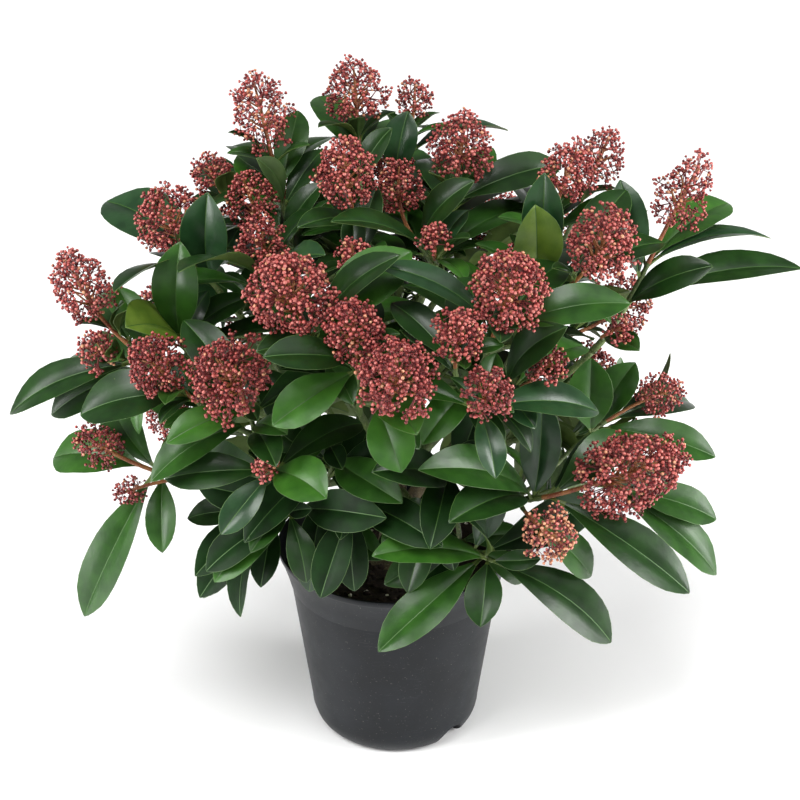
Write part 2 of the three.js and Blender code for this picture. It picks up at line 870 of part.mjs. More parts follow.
// Boughs and, at their tips, the stems and twigs of the masses.
const masses = Object.entries({ ...MASSES, ...backMasses() }).map(([name, row], index) => {
  const [carrier, share] = row.from;
  const start = limbs[carrier].getPoint(share);
  const fork = vector(row.fork);
  const sag = BOUGH_SAG * start.distanceTo(fork);
  const bend = start.clone().lerp(fork, 0.5).addScaledVector(UP, -sag);
  const whole = bent(start, bend, fork);
  const forward = whole.getTangent(1);
  const foot = fork.clone().addScaledVector(forward, -STEM_LENGTH);
  const tip = foot.clone().addScaledVector(forward, -CLEARANCE);
  growLimb(`bough_${name}`, bent(start, bend, tip), BOUGH);
  return { name, shoots: grownShoots(row.shoots, foot, forward, 100 * (index + 1)), pieces: [] };
});

for (const mass of masses) {
  for (const shoot of mass.shoots) {
    const { radii, steps, sides } = shoot.form;
    const twig = solidFrom(limbGeometry(shoot.twig, steps, sides, taper(radii)));
    mass.pieces.push(place(twig, mass.name, shoot));
  }
}

for (const mass of masses) {
  for (const shoot of mass.shoots.filter((s) => s.bloom)) {
    mass.pieces.push(place(bloomSolid(shoot), mass.name));
  }
}

for (const { from, to, radius } of OPENINGS) {
  const line = new THREE.LineCurve3(vector(from), vector(to));
  place(solidFrom(limbGeometry(line, 1, 8, () => radius)), "opening");
}

// A leaf that touches anything but its own shoot is turned about the shoot or tilted a little,
// and left out if that doesn't free it. Leaves of one shoot may cross near their roots.
const SWINGS = SWING_TURNS.flatMap((turn) => SWING_TILTS.map((tilt) => [turn, tilt]));

function swung(leaf, shoot, [turn, tilt]) {
  const along = leaf.tip.clone().sub(leaf.root);
  const hinge = new THREE.Vector3().crossVectors(shoot.axis, along).normalize();
  along.applyAxisAngle(hinge, radians(tilt)).applyAxisAngle(shoot.axis, radians(turn));
  return { ...leaf, tip: along.add(leaf.root) };
}

function fits(leaf, shoot, mass) {
  const whole = leafSolid(leaf, LEAF_GAP);
  const offStalk = leafSolid(leaf, LEAF_GAP, STALK_END);
  const blade = leafSolid(leaf, LEAF_GAP, BLADE_START);
  return (
    isFree(whole, (piece) => piece.mass !== mass.name) &&
    isFree(offStalk, (piece) => piece.mass === mass.name && piece.shoot !== shoot) &&
    isFree(blade, (piece) => piece.shoot === shoot)
  );
}

// The boldest leaves of all masses take their places before any whorl.
const wantedLeaves = masses.flatMap((mass) =>
  mass.shoots.flatMap((shoot) => leavesOf(shoot).map((wanted) => ({ wanted, shoot, mass }))),
);
wantedLeaves.sort((a, b) => Number(b.wanted.bold ?? false) - Number(a.wanted.bold ?? false));

for (const { wanted, shoot, mass } of wantedLeaves) {
  const leaf = SWINGS.map((s) => swung(wanted, shoot, s)).find((l) => fits(l, shoot, mass));
  if (leaf) mass.pieces.push(place(leafSolid(leaf), mass.name, shoot));
}

for (const mass of masses) addNode(mass.name, largestBody(union(mass.pieces)), "mass");

export default group;
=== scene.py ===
"""A potted skimmia with closed flower buds, dressed for rendering.

The plant grows by the same rule as its solids, from the same named sizes in millimetres, and a
mesh is scaled to metres when it is made. +Z is up, the origin is the middle of the pot's
underside, and the camera stands on the -Y side. All chance is seeded.
"""

import itertools
import math

import bmesh
import bpy
import numpy as np
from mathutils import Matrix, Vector, noise
from mathutils.kdtree import KDTree


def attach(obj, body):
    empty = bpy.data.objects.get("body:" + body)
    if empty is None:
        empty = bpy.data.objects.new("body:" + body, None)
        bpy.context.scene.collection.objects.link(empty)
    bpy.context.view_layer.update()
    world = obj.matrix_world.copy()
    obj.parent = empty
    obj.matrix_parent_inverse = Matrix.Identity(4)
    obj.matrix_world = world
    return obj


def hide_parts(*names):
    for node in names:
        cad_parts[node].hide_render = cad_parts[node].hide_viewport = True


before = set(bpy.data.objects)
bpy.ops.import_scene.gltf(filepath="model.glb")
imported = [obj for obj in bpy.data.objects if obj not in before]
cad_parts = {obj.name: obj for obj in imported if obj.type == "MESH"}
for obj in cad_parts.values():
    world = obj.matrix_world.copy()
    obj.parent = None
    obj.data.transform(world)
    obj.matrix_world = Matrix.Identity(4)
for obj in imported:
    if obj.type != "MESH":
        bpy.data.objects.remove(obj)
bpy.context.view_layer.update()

MM = 0.001


class Row(dict):
    """Named values, each read and set as row.name."""

    __getattr__ = dict.__getitem__
    __setattr__ = dict.__setitem__


# ---- Camera, floor and lights ----

CAMERA = Row(distance=1565, elevation=27, target=(4, 0, 293), lens=90.2, sensor=36)
FLOOR = Row(radius=30000, depth=2, segments=64, white=(250, 250, 250), roughness=0.9)
WORLD_STRENGTH = 0.25
# Soft lights from far away. Azimuth 0 is the camera's side, and 90 the right.
SUNS = Row(
    key=Row(azimuth=-30, elevation=60, strength=2.8, angle=32),
    fill=Row(azimuth=55, elevation=45, strength=0.8, angle=50),
)
SOFTBOXES = Row(
    side_left=Row(place=(-1300, -500, 500), power=20),
    side_right=Row(place=(1300, -400, 500), power=26),
)
SOFTBOX = Row(width=400, height=1300, aim=(0, 0, 250))

# ---- Sizes that the plant shares with its solids ----

POT = Row(
    height=166, rim_radius=95, base_radius=69.3, wall=1.8, floor=2.4,
    collar_radius=84.6, collar_height=33.5, collar_step=0.6, corner_across=15, corner_up=22,
)
COLLAR_FOOT = POT.height - POT.collar_height
DRAIN = Row(turns=(45, 165, 285), width=29, height=17, depth=22)
PEAT_BELOW_RIM = 15
PEAT_TOP = POT.height - PEAT_BELOW_RIM

CLEARANCE = 0.35
TRUNK = Row(height=44, foot_radius=13, top_radius=9.5, flare=0.75, flare_height=9)
TRUNK_LEAN = (3, -4)
LEADER_RADII = (6.2, 4.6)
LEADER_SUNK = 8
BOUGH_RADII = (3.4, 2.5)
BOUGH_SAG = 0.12
STEM_LENGTH = 10
FORK_PITCH = 7
NECK = 6
MAIN_TWIG = Row(radii=(2.9, 1.7), steps=5)
SIDE_TWIG = Row(radii=(2.3, 1.5), steps=4)
# How far a twig's curve keeps to the bough's line at its foot, and to its shoot's axis at its
# top: shares of its reach, and of the drop from its shoot's heart to the lowest buds.
TWIG_PULL = Row(foot=0.25, top=0.45, drop=0.3)

LEAF = Row(length=98, width=0.34, bow=0.11, fold=0.26)
WHORL = Row(count=8, bare=12, pitch=5.2, golden=137.5, open=44, spread=7.5)
FAN = Row(few_leaves=3, count=2, start=40, step=80, rise=0.12)
# The chance in the leaves' turns and openings, in degrees, and in a fan's rise; the least
# length and how much may be added, and how far down the twig the lowest leaf is at most.
CHANCE = Row(turn=24, open=14, rise=0.2, length=(0.82, 0.3), lowest=(0.85, 0.2))
# Degrees that a leaf is swung round its shoot and tilted where its place is taken.
SWING_TURNS = (0, 12, -12, 24, -24, 36, -36)
SWING_TILTS = (0, 9, -9)
TIP_MATCH = 0.3
CROWN_HEART = (0, 0, 300)
LIGHT_SIDE = (0, -0.5, 0.85)
TURNS_FROM = (1, 0.2, 0.1)
FACES_UP = 0.5
SEEDS = Row(mass=100, leaves=5000, heads=9000, back=900, tier=37, crumbs=77)


def shoot(heart, bloom=None, leaves=WHORL.count, lean=0.5, axis=None, fan=None, turn=0, tips=()):
    """heart: the middle of a flower head, or of a bud where there is none; bloom: its width and
    height; leaves: how many stand in its whorl, which starts at turn; lean: 0 is an upright
    shoot and 1 one that points straight out of the crown, or axis: the way it points; fan: how
    many leaves stand in a level fan on the far side; tips: where the tips of its boldest leaves
    are, each with how far down the shoot its leaf is rooted and, where it doesn't lie flat to
    the light, the degrees it is rolled round its own line."""
    if fan is None:
        fan = FAN.count if leaves < FAN.few_leaves else 0
    return Row(
        heart=heart, bloom=bloom, leaves=leaves, lean=lean, axis=axis, fan=fan, turn=turn, tips=tips
    )


def mass(carrier, share, fork, shoots):
    """A mass's bough leaves its carrier at a share of its length and ends at the fork."""
    return Row(carrier=carrier, share=share, fork=fork, shoots=shoots)


LEADERS = Row(
    leader_left=Row(to=(-62, -8, 268), bend=(-16, -4, 232)),
    leader_right=Row(to=(66, -4, 270), bend=(22, -2, 230)),
    leader_front=Row(to=(-4, -66, 272), bend=(2, -26, 232)),
    leader_back=Row(to=(4, 66, 276), bend=(4, 24, 236)),
    leader_middle=Row(to=(-4, 6, 348), bend=(4, 6, 260)),
)

MASSES = Row(
    top_left=mass("leader_middle", 0.78, (-72, 22, 402), [
        shoot((-100, 40, 515), (48, 66), 0,
              tips=[(-80, 70, 510, 24), (-115, 16, 486, 34), (-55, 60, 478, 36)]),
        shoot((-140, 50, 462), (36, 38), 0, tips=[(-135, 30, 395, 20)]),
        shoot((-108, 8, 458), (44, 46), 0, tips=[(-55, 25, 464, 20)]),
    ]),
    top_middle=mass("leader_middle", 1, (-18, 18, 400), [
        shoot((-30, 70, 520), (52, 56), 1, turn=90,
              tips=[(-18, 100, 494, 16), (-38, 100, 492, 22), (-3, 40, 502, 34)]),
        shoot((15, 92, 506), (34, 38), 1, turn=100, tips=[(10, 70, 505, 40)]),
        shoot((-35, -20, 490), (46, 60), 0, tips=[(-70, -40, 455, 12), (-55, 0, 475, 22)]),
        shoot((-30, -58, 440), (30, 28), 1, turn=90, tips=[(-17, -10, 475, 20)]),
    ]),
    top_right=mass("leader_middle", 0.9, (28, 6, 396), [
        shoot((50, 20, 495), (52, 58), 0, tips=[(122, 40, 486, 10), (75, 60, 480, 24)]),
        shoot((3, 8, 466), (40, 48), 0, tips=[(49, -15, 490, 20)]),
        shoot((30, -40, 446), (28, 26), 2, turn=60),
    ]),
    left_high=mass("leader_left", 0.9, (-108, -2, 352), [
        shoot((-168, 0, 446), (60, 56), 2, turn=100, tips=[(-226, 75, 430, 14), (-129, -10, 479, 24)]),
        shoot((-98, -30, 440), (40, 40), 4, turn=250),
    ]),
    left=mass("leader_left", 1, (-128, -24, 312), [
        shoot((-233, -30, 403), (48, 66), 1, lean=0.35, turn=190, tips=[(-210, 0, 390, 40)]),
        shoot((-220, -58, 364), (34, 34), 0, lean=0.8, turn=280,
              tips=[(-292, -50, 308, 10), (-262, -40, 301, 26)]),
        shoot((-160, -50, 372), None, 0, lean=0.3,
              tips=[(-155, -55, 448, 5), (-190, -92, 411, 9), (-138, -35, 402, 12), (-107, -35, 397, 8)]),
    ]),
    front_left=mass("leader_left", 0.72, (-96, -84, 302), [
        shoot((-168, -120, 382), (46, 54), 1, turn=90, tips=[(-228, -115, 350, 4)]),
        shoot((-116, -134, 380), (66, 60), 1, turn=100,
              tips=[(-175, -140, 300, 26), (-160, -150, 345, 8)]),
    ]),
    front=mass("leader_front", 1, (-22, -96, 326), [
        shoot((-72, -126, 442), (64, 68), 1, turn=5, tips=[(4, -92, 466, 6), (-90, -145, 415, 24)]),
        shoot((-28, -150, 424), (46, 52), 0, tips=[(-85, -155, 352, 16), (-83, -170, 422, 6)]),
        shoot((2, -178, 402), (60, 60), 1, turn=5, tips=[(5, -172, 324, 30), (15, -190, 365, 24)]),
    ]),
    front_right=mass("leader_front", 0.82, (44, -86, 322), [
        shoot((80, -130, 446), (60, 62), 0, tips=[(160, -120, 442, 8), (-4, -118, 468, 4)]),
        shoot((44, -158, 424), (38, 44), 0, tips=[(-2, -100, 422, 12)]),
        shoot((64, -174, 388), (42, 36), 0, tips=[(70, -190, 330, 10)]),
        shoot((108, -124, 384), (32, 32), 1, turn=107, tips=[(130, -135, 415, 24)]),
    ]),
    right_high=mass("leader_right", 0.86, (98, -8, 358), [
        shoot((128, 0, 482), (44, 54), 0, tips=[(109, -22, 489, 50), (87, -32, 466, 60)]),
        shoot((158, 62, 471), (42, 54), 0, fan=0),
        shoot((150, -60, 450), (54, 62), 1, turn=90),
    ]),
    right=mass("leader_right", 1, (158, -6, 345), [
        shoot((218, 20, 458), (44, 70), 0, lean=0.45,
              tips=[(312, 20, 396, 52, -15), (290, 45, 396, 20, -35), (235, -25, 418, 56),
                    (170, 25, 466, 34)]),
        shoot((166, -38, 372), (28, 26), 0, lean=0.8, fan=0, tips=[(186, -40, 361, 34)]),
    ]),
    right_low=mass("leader_right", 0.6, (84, -62, 240), [
        shoot((172, -114, 292), (64, 96), 1, axis=(0.85, -0.1, 0.4), turn=40,
              tips=[(221, -122, 193, 14), (108, -90, 340, 30), (20, -165, 325, 30), (44, -150, 335, 36)]),
        shoot((206, 0, 298), (34, 46), 0, lean=0.7,
              tips=[(150, -20, 338, 34), (185, -5, 328, 24), (250, -30, 276, 26)]),
        shoot((112, -156, 264), (44, 44), 0, lean=0.9, tips=[(163, -110, 228, 8)]),
        shoot((172, -50, 240), None, 0, lean=1, tips=[(250, -50, 215, 5), (252, -62, 172, 8)]),
    ]),
    left_low=mass("leader_left", 0.5, (-110, -40, 240), [
        shoot((-224, -62, 287), (36, 46), 0, axis=(-0.75, -0.1, 0.6),
              tips=[(-271, -26, 266, 14), (-241, -85, 148, 20), (-176, -95, 212, 26)]),
        shoot((-92, -146, 312), (22, 20), 0, lean=0.7,
              tips=[(-125, -152, 262, 10), (-52, -172, 318, 4), (-166, -129, 295, 8)]),
        shoot((-200, -78, 256), (26, 30), 0, axis=(-0.9, -0.3, -0.2)),
    ]),
    foot_left=mass("leader_front", 0.45, (-48, -72, 232), [
        shoot((-80, -112, 256), None, 4, axis=(-0.3, -0.85, 0.2), turn=80,
              tips=[(-65, -135, 210, 4), (-140, -130, 218, 5), (-105, -140, 240, 8)]),
        shoot((-30, -112, 266), None, 2, axis=(0, -0.9, 0.3), turn=200,
              tips=[(-55, -140, 200, 4), (-30, -125, 196, 12)]),
        shoot((-48, -88, 302), None, 7, lean=0.6, turn=40),
        shoot((-104, -62, 226), None, 3, axis=(-0.8, -0.5, 0.1), turn=300,
              tips=[(-150, -95, 172, 4), (-150, -112, 203, 12), (-110, -100, 187, 10),
                    (-160, -60, 222, 5)]),
    ]),
    foot_right=mass("leader_front", 0.6, (40, -84, 222), [
        shoot((72, -124, 222), None, 0, axis=(0.35, -0.85, 0.25),
              tips=[(165, -130, 155, 5), (63, -160, 188, 6), (-12, -165, 170, 12), (-15, -160, 250, 4),
                    (43, -160, 288, 8)]),
        shoot((24, -116, 260), None, 4, axis=(0, -0.8, 0.5), turn=240,
              tips=[(-9, -140, 243, 4), (44, -140, 224, 5), (22, -146, 206, 8)]),
        shoot((42, -100, 292), None, 5, lean=0.6, turn=255),
    ]),
)

# The masses of the far side: their carriers, the turns they stand between, and their shoots.
BACK_TIERS = Row(
    high=Row(
        carriers=(("leader_back", 1), ("leader_back", 0.86)),
        between=(44, 136),
        fork=Row(radius=76, height=346),
        shoots=Row(radius=128, height=424, lean=0.5, bloom=52),
    ),
    mid=Row(
        carriers=(("leader_right", 0.74), ("leader_back", 0.7), ("leader_left", 0.62)),
        between=(22, 158),
        fork=Row(radius=100, height=298),
        shoots=Row(radius=206, height=348, lean=0.65, bloom=52),
    ),
    low=Row(
        carriers=(("leader_right", 0.45), ("leader_back", 0.5), ("leader_left", 0.38)),
        between=(0, 165),
        fork=Row(radius=94, height=230),
        shoots=Row(radius=190, height=258, lean=0.9, bloom=46),
    ),
)
BACK_SHOOTS = 3
# Every other shoot stands this far over its tier's height, and the rest as far under it; the
# higher ones stand further in, by a share of the rise.
BACK_STAGGER = Row(turn=4, rise=26, rise_chance=10, inwards=0.5)
BACK_BLOOM = Row(least=0.85, more=0.25, tall=1.1)

# ---- Sizes of the fine parts ----

# Along a leaf: how far from root to tip, and its half width there in shares of the widest.
LEAF_OUTLINE = (
    (0, 0.07), (0.05, 0.075), (0.1, 0.13), (0.18, 0.32), (0.28, 0.58), (0.38, 0.8), (0.48, 0.94),
    (0.58, 1), (0.68, 0.99), (0.77, 0.91), (0.85, 0.76), (0.92, 0.5), (0.97, 0.25), (1, 0.04),
)
LEAF_LIVE_WIDTH = Row(share=0.34, usual=95, shorter_is_wider=0.45, most=0.46)
LEAF_MARGIN = Row(width=0.3, most=0.35, edge=0.1)
LEAF_RIB = Row(width=0.36, most=0.3, groove=0.28, keel=0.75)
LEAF_THICKNESS = Row(blade=0.6, thinner_margin=0.5, petiole=1.6, petiole_to=0.14)
LEAF_RISE = Row(at_rib=1.15, recurve_from=0.55)
PETIOLE_END = 0.08
# How a leaf differs from the next, each from least to most: its ruffled margins, its bent tip,
# its turn in degrees, its sway and how its halves cup.
LEAF_HABITS = Row(
    ruffle=(0.01, 0.06), waves=(1.2, 2.6), phase=(0, 2 * math.pi), recurve=(0, 0.16),
    twist=(-16, 16), sway=(-0.035, 0.035), cup=(0.2, 0.5),
)
# Smaller leaves: how many are tried, how far down from the neck, how long and how far opened.
# Those down the twig start at the first of their downs, and end at the second or lower.
YOUNG_NECK = Row(tries=8, down=(0, 12), length=34, longer=(0.8, 1.3), open=(35, 70))
YOUNG_TWIG = Row(tries=8, down=(22, 24), length=58, longer=(0.7, 1.2), open=(55, 95))
YOUNG_BACK_TRIES = 20
YOUNG = Row(gap=5.0, down_twig=0.8, lowest=0.85)
LEAF_PROBE = Row(shares=(0.22, 0.34, 0.46, 0.58, 0.7, 0.82, 0.94), across=(-0.9, 0, 0.9))
PROBE_FREE = 2 * len(LEAF_PROBE.across)
LEAF_CELL = 10
LIMB_PARTS = 12
TWIG_PARTS = Row(all=16, kept=14)
BARE_MASSES = ("right", "right_low", "left_low")

# The skins of the limbs: how deep the relief of the bark is and how large its lumps, its finer
# lumps as shares of those, and the swollen collar where a limb leaves its carrier.
BARK_FINER = Row(size=2.7, depth=0.5)
BARK_COLLAR = Row(swell=0.35, fades_in=7, old_to=0.15)
TRUNK_BARK = Row(steps=26, sides=32, sunk=3, bend=0.6, relief=(1.3, 7))
LEADER_BARK = Row(sides=16, relief=(0.7, 5))
BOUGH_BARK = Row(sides=12, relief=(0.35, 4))
LIMB_STEP = Row(length=3.5, least=10)
TWIG_SKIN = Row(sides=7, step=5, least=8, swell=0.12, stalk=0.86, stalk_under=4)

# Up a flower head, in halves of its height: its half width, in halves of its width.
HEAD_RISE = (-1, -0.75, -0.25, 0.5)
HEAD_REACH = (0.3, 0.66, 0.98, 0.76)
HEAD_TOP_CURVE = 0.7
HEAD_ROUGH = Row(share=0.22, waves=2.2, tall=1.4, drift=1.7)
HEAD_LOBES = Row(turns=(1.5 * 360 / 7, 4.5 * 360 / 7), out=0.22, wide=24, rise=-0.25, tall=0.4)
HEAD_TURNS_FROM = (0.3, 1, 0.1)
# The hubs, which carry the clusters of buds, and the nodes, where branches fork to the hubs:
# how many at least, how high up the head, and how near to its outline.
HUBS = Row(least=6, between=(-0.92, 0.96), share=1, inset=4.2, buds=(7, 11))
NODES = Row(least=3, between=(-0.8, 0.8), share=0.5, inset=0, hubs=3)
SPIRAL = Row(uneven=(0.8, 1.04), rise=0.05, turn=26)
HUB_NEAREST = 0.2
HEAD_FILL = 0.9
AREA_PER_BUD = (14.5, 22)
BRANCH = Row(slope=0.9, lowest=2, sag=0.12, stalk_top=0.72, stalk_foot=2)
CLUSTER = Row(tries=5, outward=0.8)
PEDICEL = Row(length=(3.2, 6.4), radius=0.3, sides=3, into_bud=0.6)
BUD = Row(radius=1.36, spread=0.17, gap=2.5, looser_is_less=0.08, tip=1.04)
BUD_SIDES = 6
BUD_RINGS = ((-0.42, 0.8), (0.34, 0.94))
BUD_CELL = 4

# How loose the flower heads of a mass are, from 0, closed, to 1, open enough to see through.
LOOSENESS = Row(
    top_left=(0.7, 0.7, 0.6), top_middle=(0.6, 0.8, 0.35, 0.5), top_right=(0.5, 0.4, 0.5),
    left_high=(0.45, 0.5), left=(0.35, 0.5), left_low=(0.9, 0.6, 1),
    front_left=(0.2, 0.1), front=(0, 0.1, 0), front_right=(0, 0.2, 0.3, 0.5),
    right_high=(0.4, 0.8, 0.1), right=(1, 0.8), right_low=(0, 0.7, 0.8),
)
BACK_LOOSENESS = 0.6
HEAD_KINDS = Row(
    brown=Row(left_low=(0, 2)),
    cream=Row(right_low=(2,)),
    dark=Row(front=(1, 2), front_left=(0, 1), front_right=(2, 3)),
)
# Shares of deep, rose, pink and salmon buds in a head of a kind. In any other head, the share
# of each but rose, in the shade, and how much it gains in the light.
KIND_SHARES = Row(
    brown=(0.7, 0.2, 0.06, 0.04), cream=(0.12, 0.1, 0.1, 0.68), dark=(0.5, 0.3, 0.16, 0.04)
)
# Painted light and shade: buds that point up are dealt paler tints, buds that point down deeper ones.
LIT_SHARES = Row(deep=(0.38, -0.26), pink=(0.17, 0.23), salmon=(0.02, 0.07))

POT_SEGMENTS = 144
POT_CORNER_STEPS = 8
POT_BODY_ROWS = (0.25, 0.5, 0.75, 0.97)
POT_HARD_EDGE = 40
# Round the collar's foot, and round the rim and into the pot: how far out from the body or in
# from the rim, and how far up from the collar's foot or down from the rim.
COLLAR_EDGE = ((-0.2, -0.4), (POT.collar_step - 0.15, 0), (POT.collar_step, 0.5))
COLLAR_ROWS = (0.35, 0.8)
RIM_EDGE = ((0.9, 5), (0.35, 4), (0, 2.2), (0, 0.9), (0.35, 0.2), (0.9, 0))
RIM_INSIDE = ((POT.wall, 0.1), (POT.wall + 0.4, 0.7))
NOTCH = Row(steps=12, under=1, outside=4)

# The peat's surface: how far it lies under its solid's top, and how high lumps and grains rise.
PEAT = Row(rings=34, segments=110, low=1.5, lumps=2.2, grains=1.1, finer=3.3)
PEAT_LUMP = Row(size=14, slice=3.1)
PEAT_GAP = Row(top=0.3, foot=2)
# The loose crumbs on it, most of them peat and some white perlite.
CRUMBS = Row(count=420, from_wall=4, size=(1.2, 3.4), deep=50, finer=1.3, rough=0.45)
CRUMB_FLAT = Row(across=(0.6, 1), up=(0.45, 0.8), over_peat=0.35)
PERLITE = Row(share=0.07, size=(1, 2))

# ---- Small tools ----

UP = np.array((0, 0, 1.0))


def vec(numbers):
    return np.array(numbers, float)


def unit(v):
    return v / np.linalg.norm(v)


def seeded(seed):
    """A seeded stream of numbers from 0 to 1."""
    full = 0xFFFFFFFF
    state = seed & full

    def draw():
        nonlocal state
        state = (state + 0x6D2B79F5) & full
        t = state
        t = ((t ^ (t >> 15)) * (t | 1)) & full
        t ^= (t + ((t ^ (t >> 7)) * (t | 61))) & full
        return (t ^ (t >> 14)) / (full + 1)

    return draw


def spread(random, low, high):
    return low + (high - low) * random()


def about(random, width):
    """A number up to half a width on either side of 0."""
    return width * (random() - 0.5)


def random_direction(random):
    rise = 2 * random() - 1
    turn = 2 * math.pi * random()
    flat = math.sqrt(1 - rise * rise)
    return np.array((flat * math.cos(turn), flat * math.sin(turn), rise))


def turned(v, axis, degrees):
    angle = math.radians(degrees)
    c = math.cos(angle)
    return v * c + np.cross(axis, v) * math.sin(angle) + axis * (axis @ v) * (1 - c)


def frame_on(tangent, hint):
    """Two directions square to a tangent, the first as near to the hint as it can be."""
    first = unit(hint - tangent * (hint @ tangent))
    return first, np.cross(tangent, first)


def opened(axis, sides, turn, opening):
    """The way that opens from an axis by an angle, towards a turn round it from its first side."""
    outward = sides[0] * math.cos(turn) + sides[1] * math.sin(turn)
    return axis * math.cos(opening) + outward * math.sin(opening)


def polar(radius, degrees, height):
    angle = math.radians(degrees)
    return vec((radius * math.cos(angle), radius * math.sin(angle), height))


def ring(radius, segments, height):
    """The points of a level ring round the pot's axis; height is a number or a rule."""
    points = []
    for t in 2 * np.pi * np.arange(segments) / segments:
        x, y = radius * math.cos(t), radius * math.sin(t)
        points.append((x, y, height(x, y) if callable(height) else height))
    return points


def bent(start, bend, end):
    return lambda u: (1 - u) ** 2 * start + 2 * u * (1 - u) * bend + u * u * end


def straight(start, end):
    return bent(start, (start + end) / 2, end)


def cubic(a, b, c, d):
    return lambda u: (
        (1 - u) ** 3 * a + 3 * u * (1 - u) ** 2 * b + 3 * u * u * (1 - u) * c + u**3 * d
    )


def direction(curve, u, step=1e-4):
    return unit(curve(min(1, u + step)) - curve(max(0, u - step)))


def taper(radii):
    return lambda u: radii[0] + (radii[1] - radii[0]) * u


def length_of(knots):
    return sum(np.linalg.norm(b - a) for a, b in zip(knots, knots[1:]))


def down_knots(knots, way):
    """The point a given way down a row of knots, from its last one."""
    left = way
    for upper, lower in zip(knots[::-1], knots[-2::-1]):
        step = np.linalg.norm(upper - lower)
        if left <= step:
            return upper + (lower - upper) * (left / step)
        left -= step
    return knots[0].copy()


def by_place(table):
    """A table of the places that share a value, turned round to give each place its value."""
    return {place: value for value, places in table.items() for place in places}


def dealt(random, shares):
    """A number dealt out by shares that add up to one."""
    at = random()
    for i, share in enumerate(shares):
        at -= share
        if at < 0:
            return i
    return len(shares) - 1


# ---- The rule that grows shoots ----


def back_masses():
    masses = {}
    for tier_index, (tier_name, tier) in enumerate(BACK_TIERS.items()):
        slice_width = (tier.between[1] - tier.between[0]) / len(tier.carriers)
        form = tier.shoots
        for i, source in enumerate(tier.carriers):
            random = seeded(SEEDS.back + SEEDS.tier * tier_index + i)
            middle = tier.between[0] + slice_width * (i + 0.5)
            shoots = []
            for k in range(BACK_SHOOTS):
                across = (k + 0.5) / BACK_SHOOTS - 0.5
                turn = middle + slice_width * across + about(random, BACK_STAGGER.turn)
                up_or_down = 1 if (i * BACK_SHOOTS + k) % 2 else -1
                rise = BACK_STAGGER.rise * up_or_down + about(random, BACK_STAGGER.rise_chance)
                size = form.bloom * (BACK_BLOOM.least + BACK_BLOOM.more * random())
                radius = form.radius - BACK_STAGGER.inwards * rise
                heart = polar(radius, turn, form.height + rise)
                bloom = (size, size * BACK_BLOOM.tall)
                shoots.append(shoot(heart, bloom, lean=form.lean, turn=360 * random()))
            fork = polar(tier.fork.radius, middle, tier.fork.height)
            masses[f"back_{tier_name}_{i + 1}"] = mass(*source, fork, shoots)
    return masses


def grown_shoot(row, form, start, forward, seed):
    """Fills in what a shoot's row leaves out: its axis, and the twig it grows from."""
    heart = vec(row.heart)
    out = unit(heart - vec(CROWN_HEART))
    axis = unit(vec(row.axis) if row.axis else UP + (out - UP) * row.lean)
    drop = 0.5 * row.bloom[1] + NECK if row.bloom else 0
    reach = np.linalg.norm(heart - start)
    bend = heart + axis * (-TWIG_PULL.top * reach - TWIG_PULL.drop * drop)
    twig = cubic(start, start + forward * (TWIG_PULL.foot * reach), bend, heart)
    return Row(
        row,
        form=form,
        heart=heart,
        axis=axis,
        sides=frame_on(axis, vec(TURNS_FROM)),
        facing=unit(axis + FACES_UP * UP),
        drop=drop,
        twig=twig,
        knots=[twig(i / form.steps) for i in range(form.steps + 1)],
        seed=seed,
    )


def grown_shoots(rows, foot, forward, seed):
    """The first shoot's twig carries on from the bough; the others fork off it one by one."""
    first = grown_shoot(rows[0], MAIN_TWIG, foot, forward, seed)
    up_knots = first.knots[::-1]
    shoots = [first]
    for k, row in enumerate(rows[1:]):
        start = down_knots(up_knots, STEM_LENGTH + FORK_PITCH * k)
        shoots.append(grown_shoot(row, SIDE_TWIG, start, forward, seed + k + 1))
    return shoots


def leaves_of(shoot):
    """The leaves of one shoot: those whose tips are given, then its whorl, then its fan."""
    random = seeded(shoot.seed)
    most, less = CHANCE.lowest
    furthest = (most - less * random()) * length_of(shoot.knots)

    def root_at(down):
        return down_knots(shoot.knots, min(shoot.drop + down, furthest))

    leaves = []
    for x, y, z, down, *roll in shoot.tips:
        root, tip = root_at(down), vec((x, y, z))
        light_side = turned(vec(LIGHT_SIDE), unit(tip - root), sum(roll))
        leaves.append(Row(root=root, tip=tip, facing=light_side))

    def grow_leaf(i, along):
        least, more = CHANCE.length
        reach = LEAF.length * (least + more * random())
        root = root_at(WHORL.bare + WHORL.pitch * i)
        leaves.append(Row(root=root, tip=root + along * reach, facing=shoot.facing))

    for i in range(shoot.leaves):
        turn = shoot.turn + WHORL.golden * i + about(random, CHANCE.turn)
        opening = WHORL.open + WHORL.spread * i + about(random, CHANCE.open)
        grow_leaf(i, opened(shoot.axis, shoot.sides, math.radians(turn), math.radians(opening)))
    for i in range(shoot.fan):
        turn = FAN.start + FAN.step * i + about(random, CHANCE.turn)
        rise = FAN.rise + about(random, CHANCE.rise)
        grow_leaf(i + 1, unit(polar(1, turn, rise)))
    return [Row(leaf, number=number) for number, leaf in enumerate(leaves)]


def swung(leaf, shoot, turn, tilt):
    along = leaf.tip - leaf.root
    hinge = unit(np.cross(shoot.axis, along))
    along = turned(turned(along, hinge, tilt), shoot.axis, turn)
    return Row(leaf, tip=leaf.root + along)


def corners_of(node):
    """A search tree of a solid's corners, in millimetres."""
    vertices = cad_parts[node].data.vertices
    tree = KDTree(len(vertices))
    for vertex in vertices:
        tree.insert(vertex.co / MM, vertex.index)
    tree.balance()
    return tree


def standing_leaf(wanted, shoot, corners):
    """The leaf, swung to where its solid's tip is, or None where the solid has no room for it."""
    for turn in SWING_TURNS:
        for tilt in SWING_TILTS:
            leaf = swung(wanted, shoot, turn, tilt)
            if corners.find(leaf.tip)[2] < TIP_MATCH:
                return leaf
    return None


def trunk_top():
    return vec((*TRUNK_LEAN, PEAT_TOP + TRUNK.height))


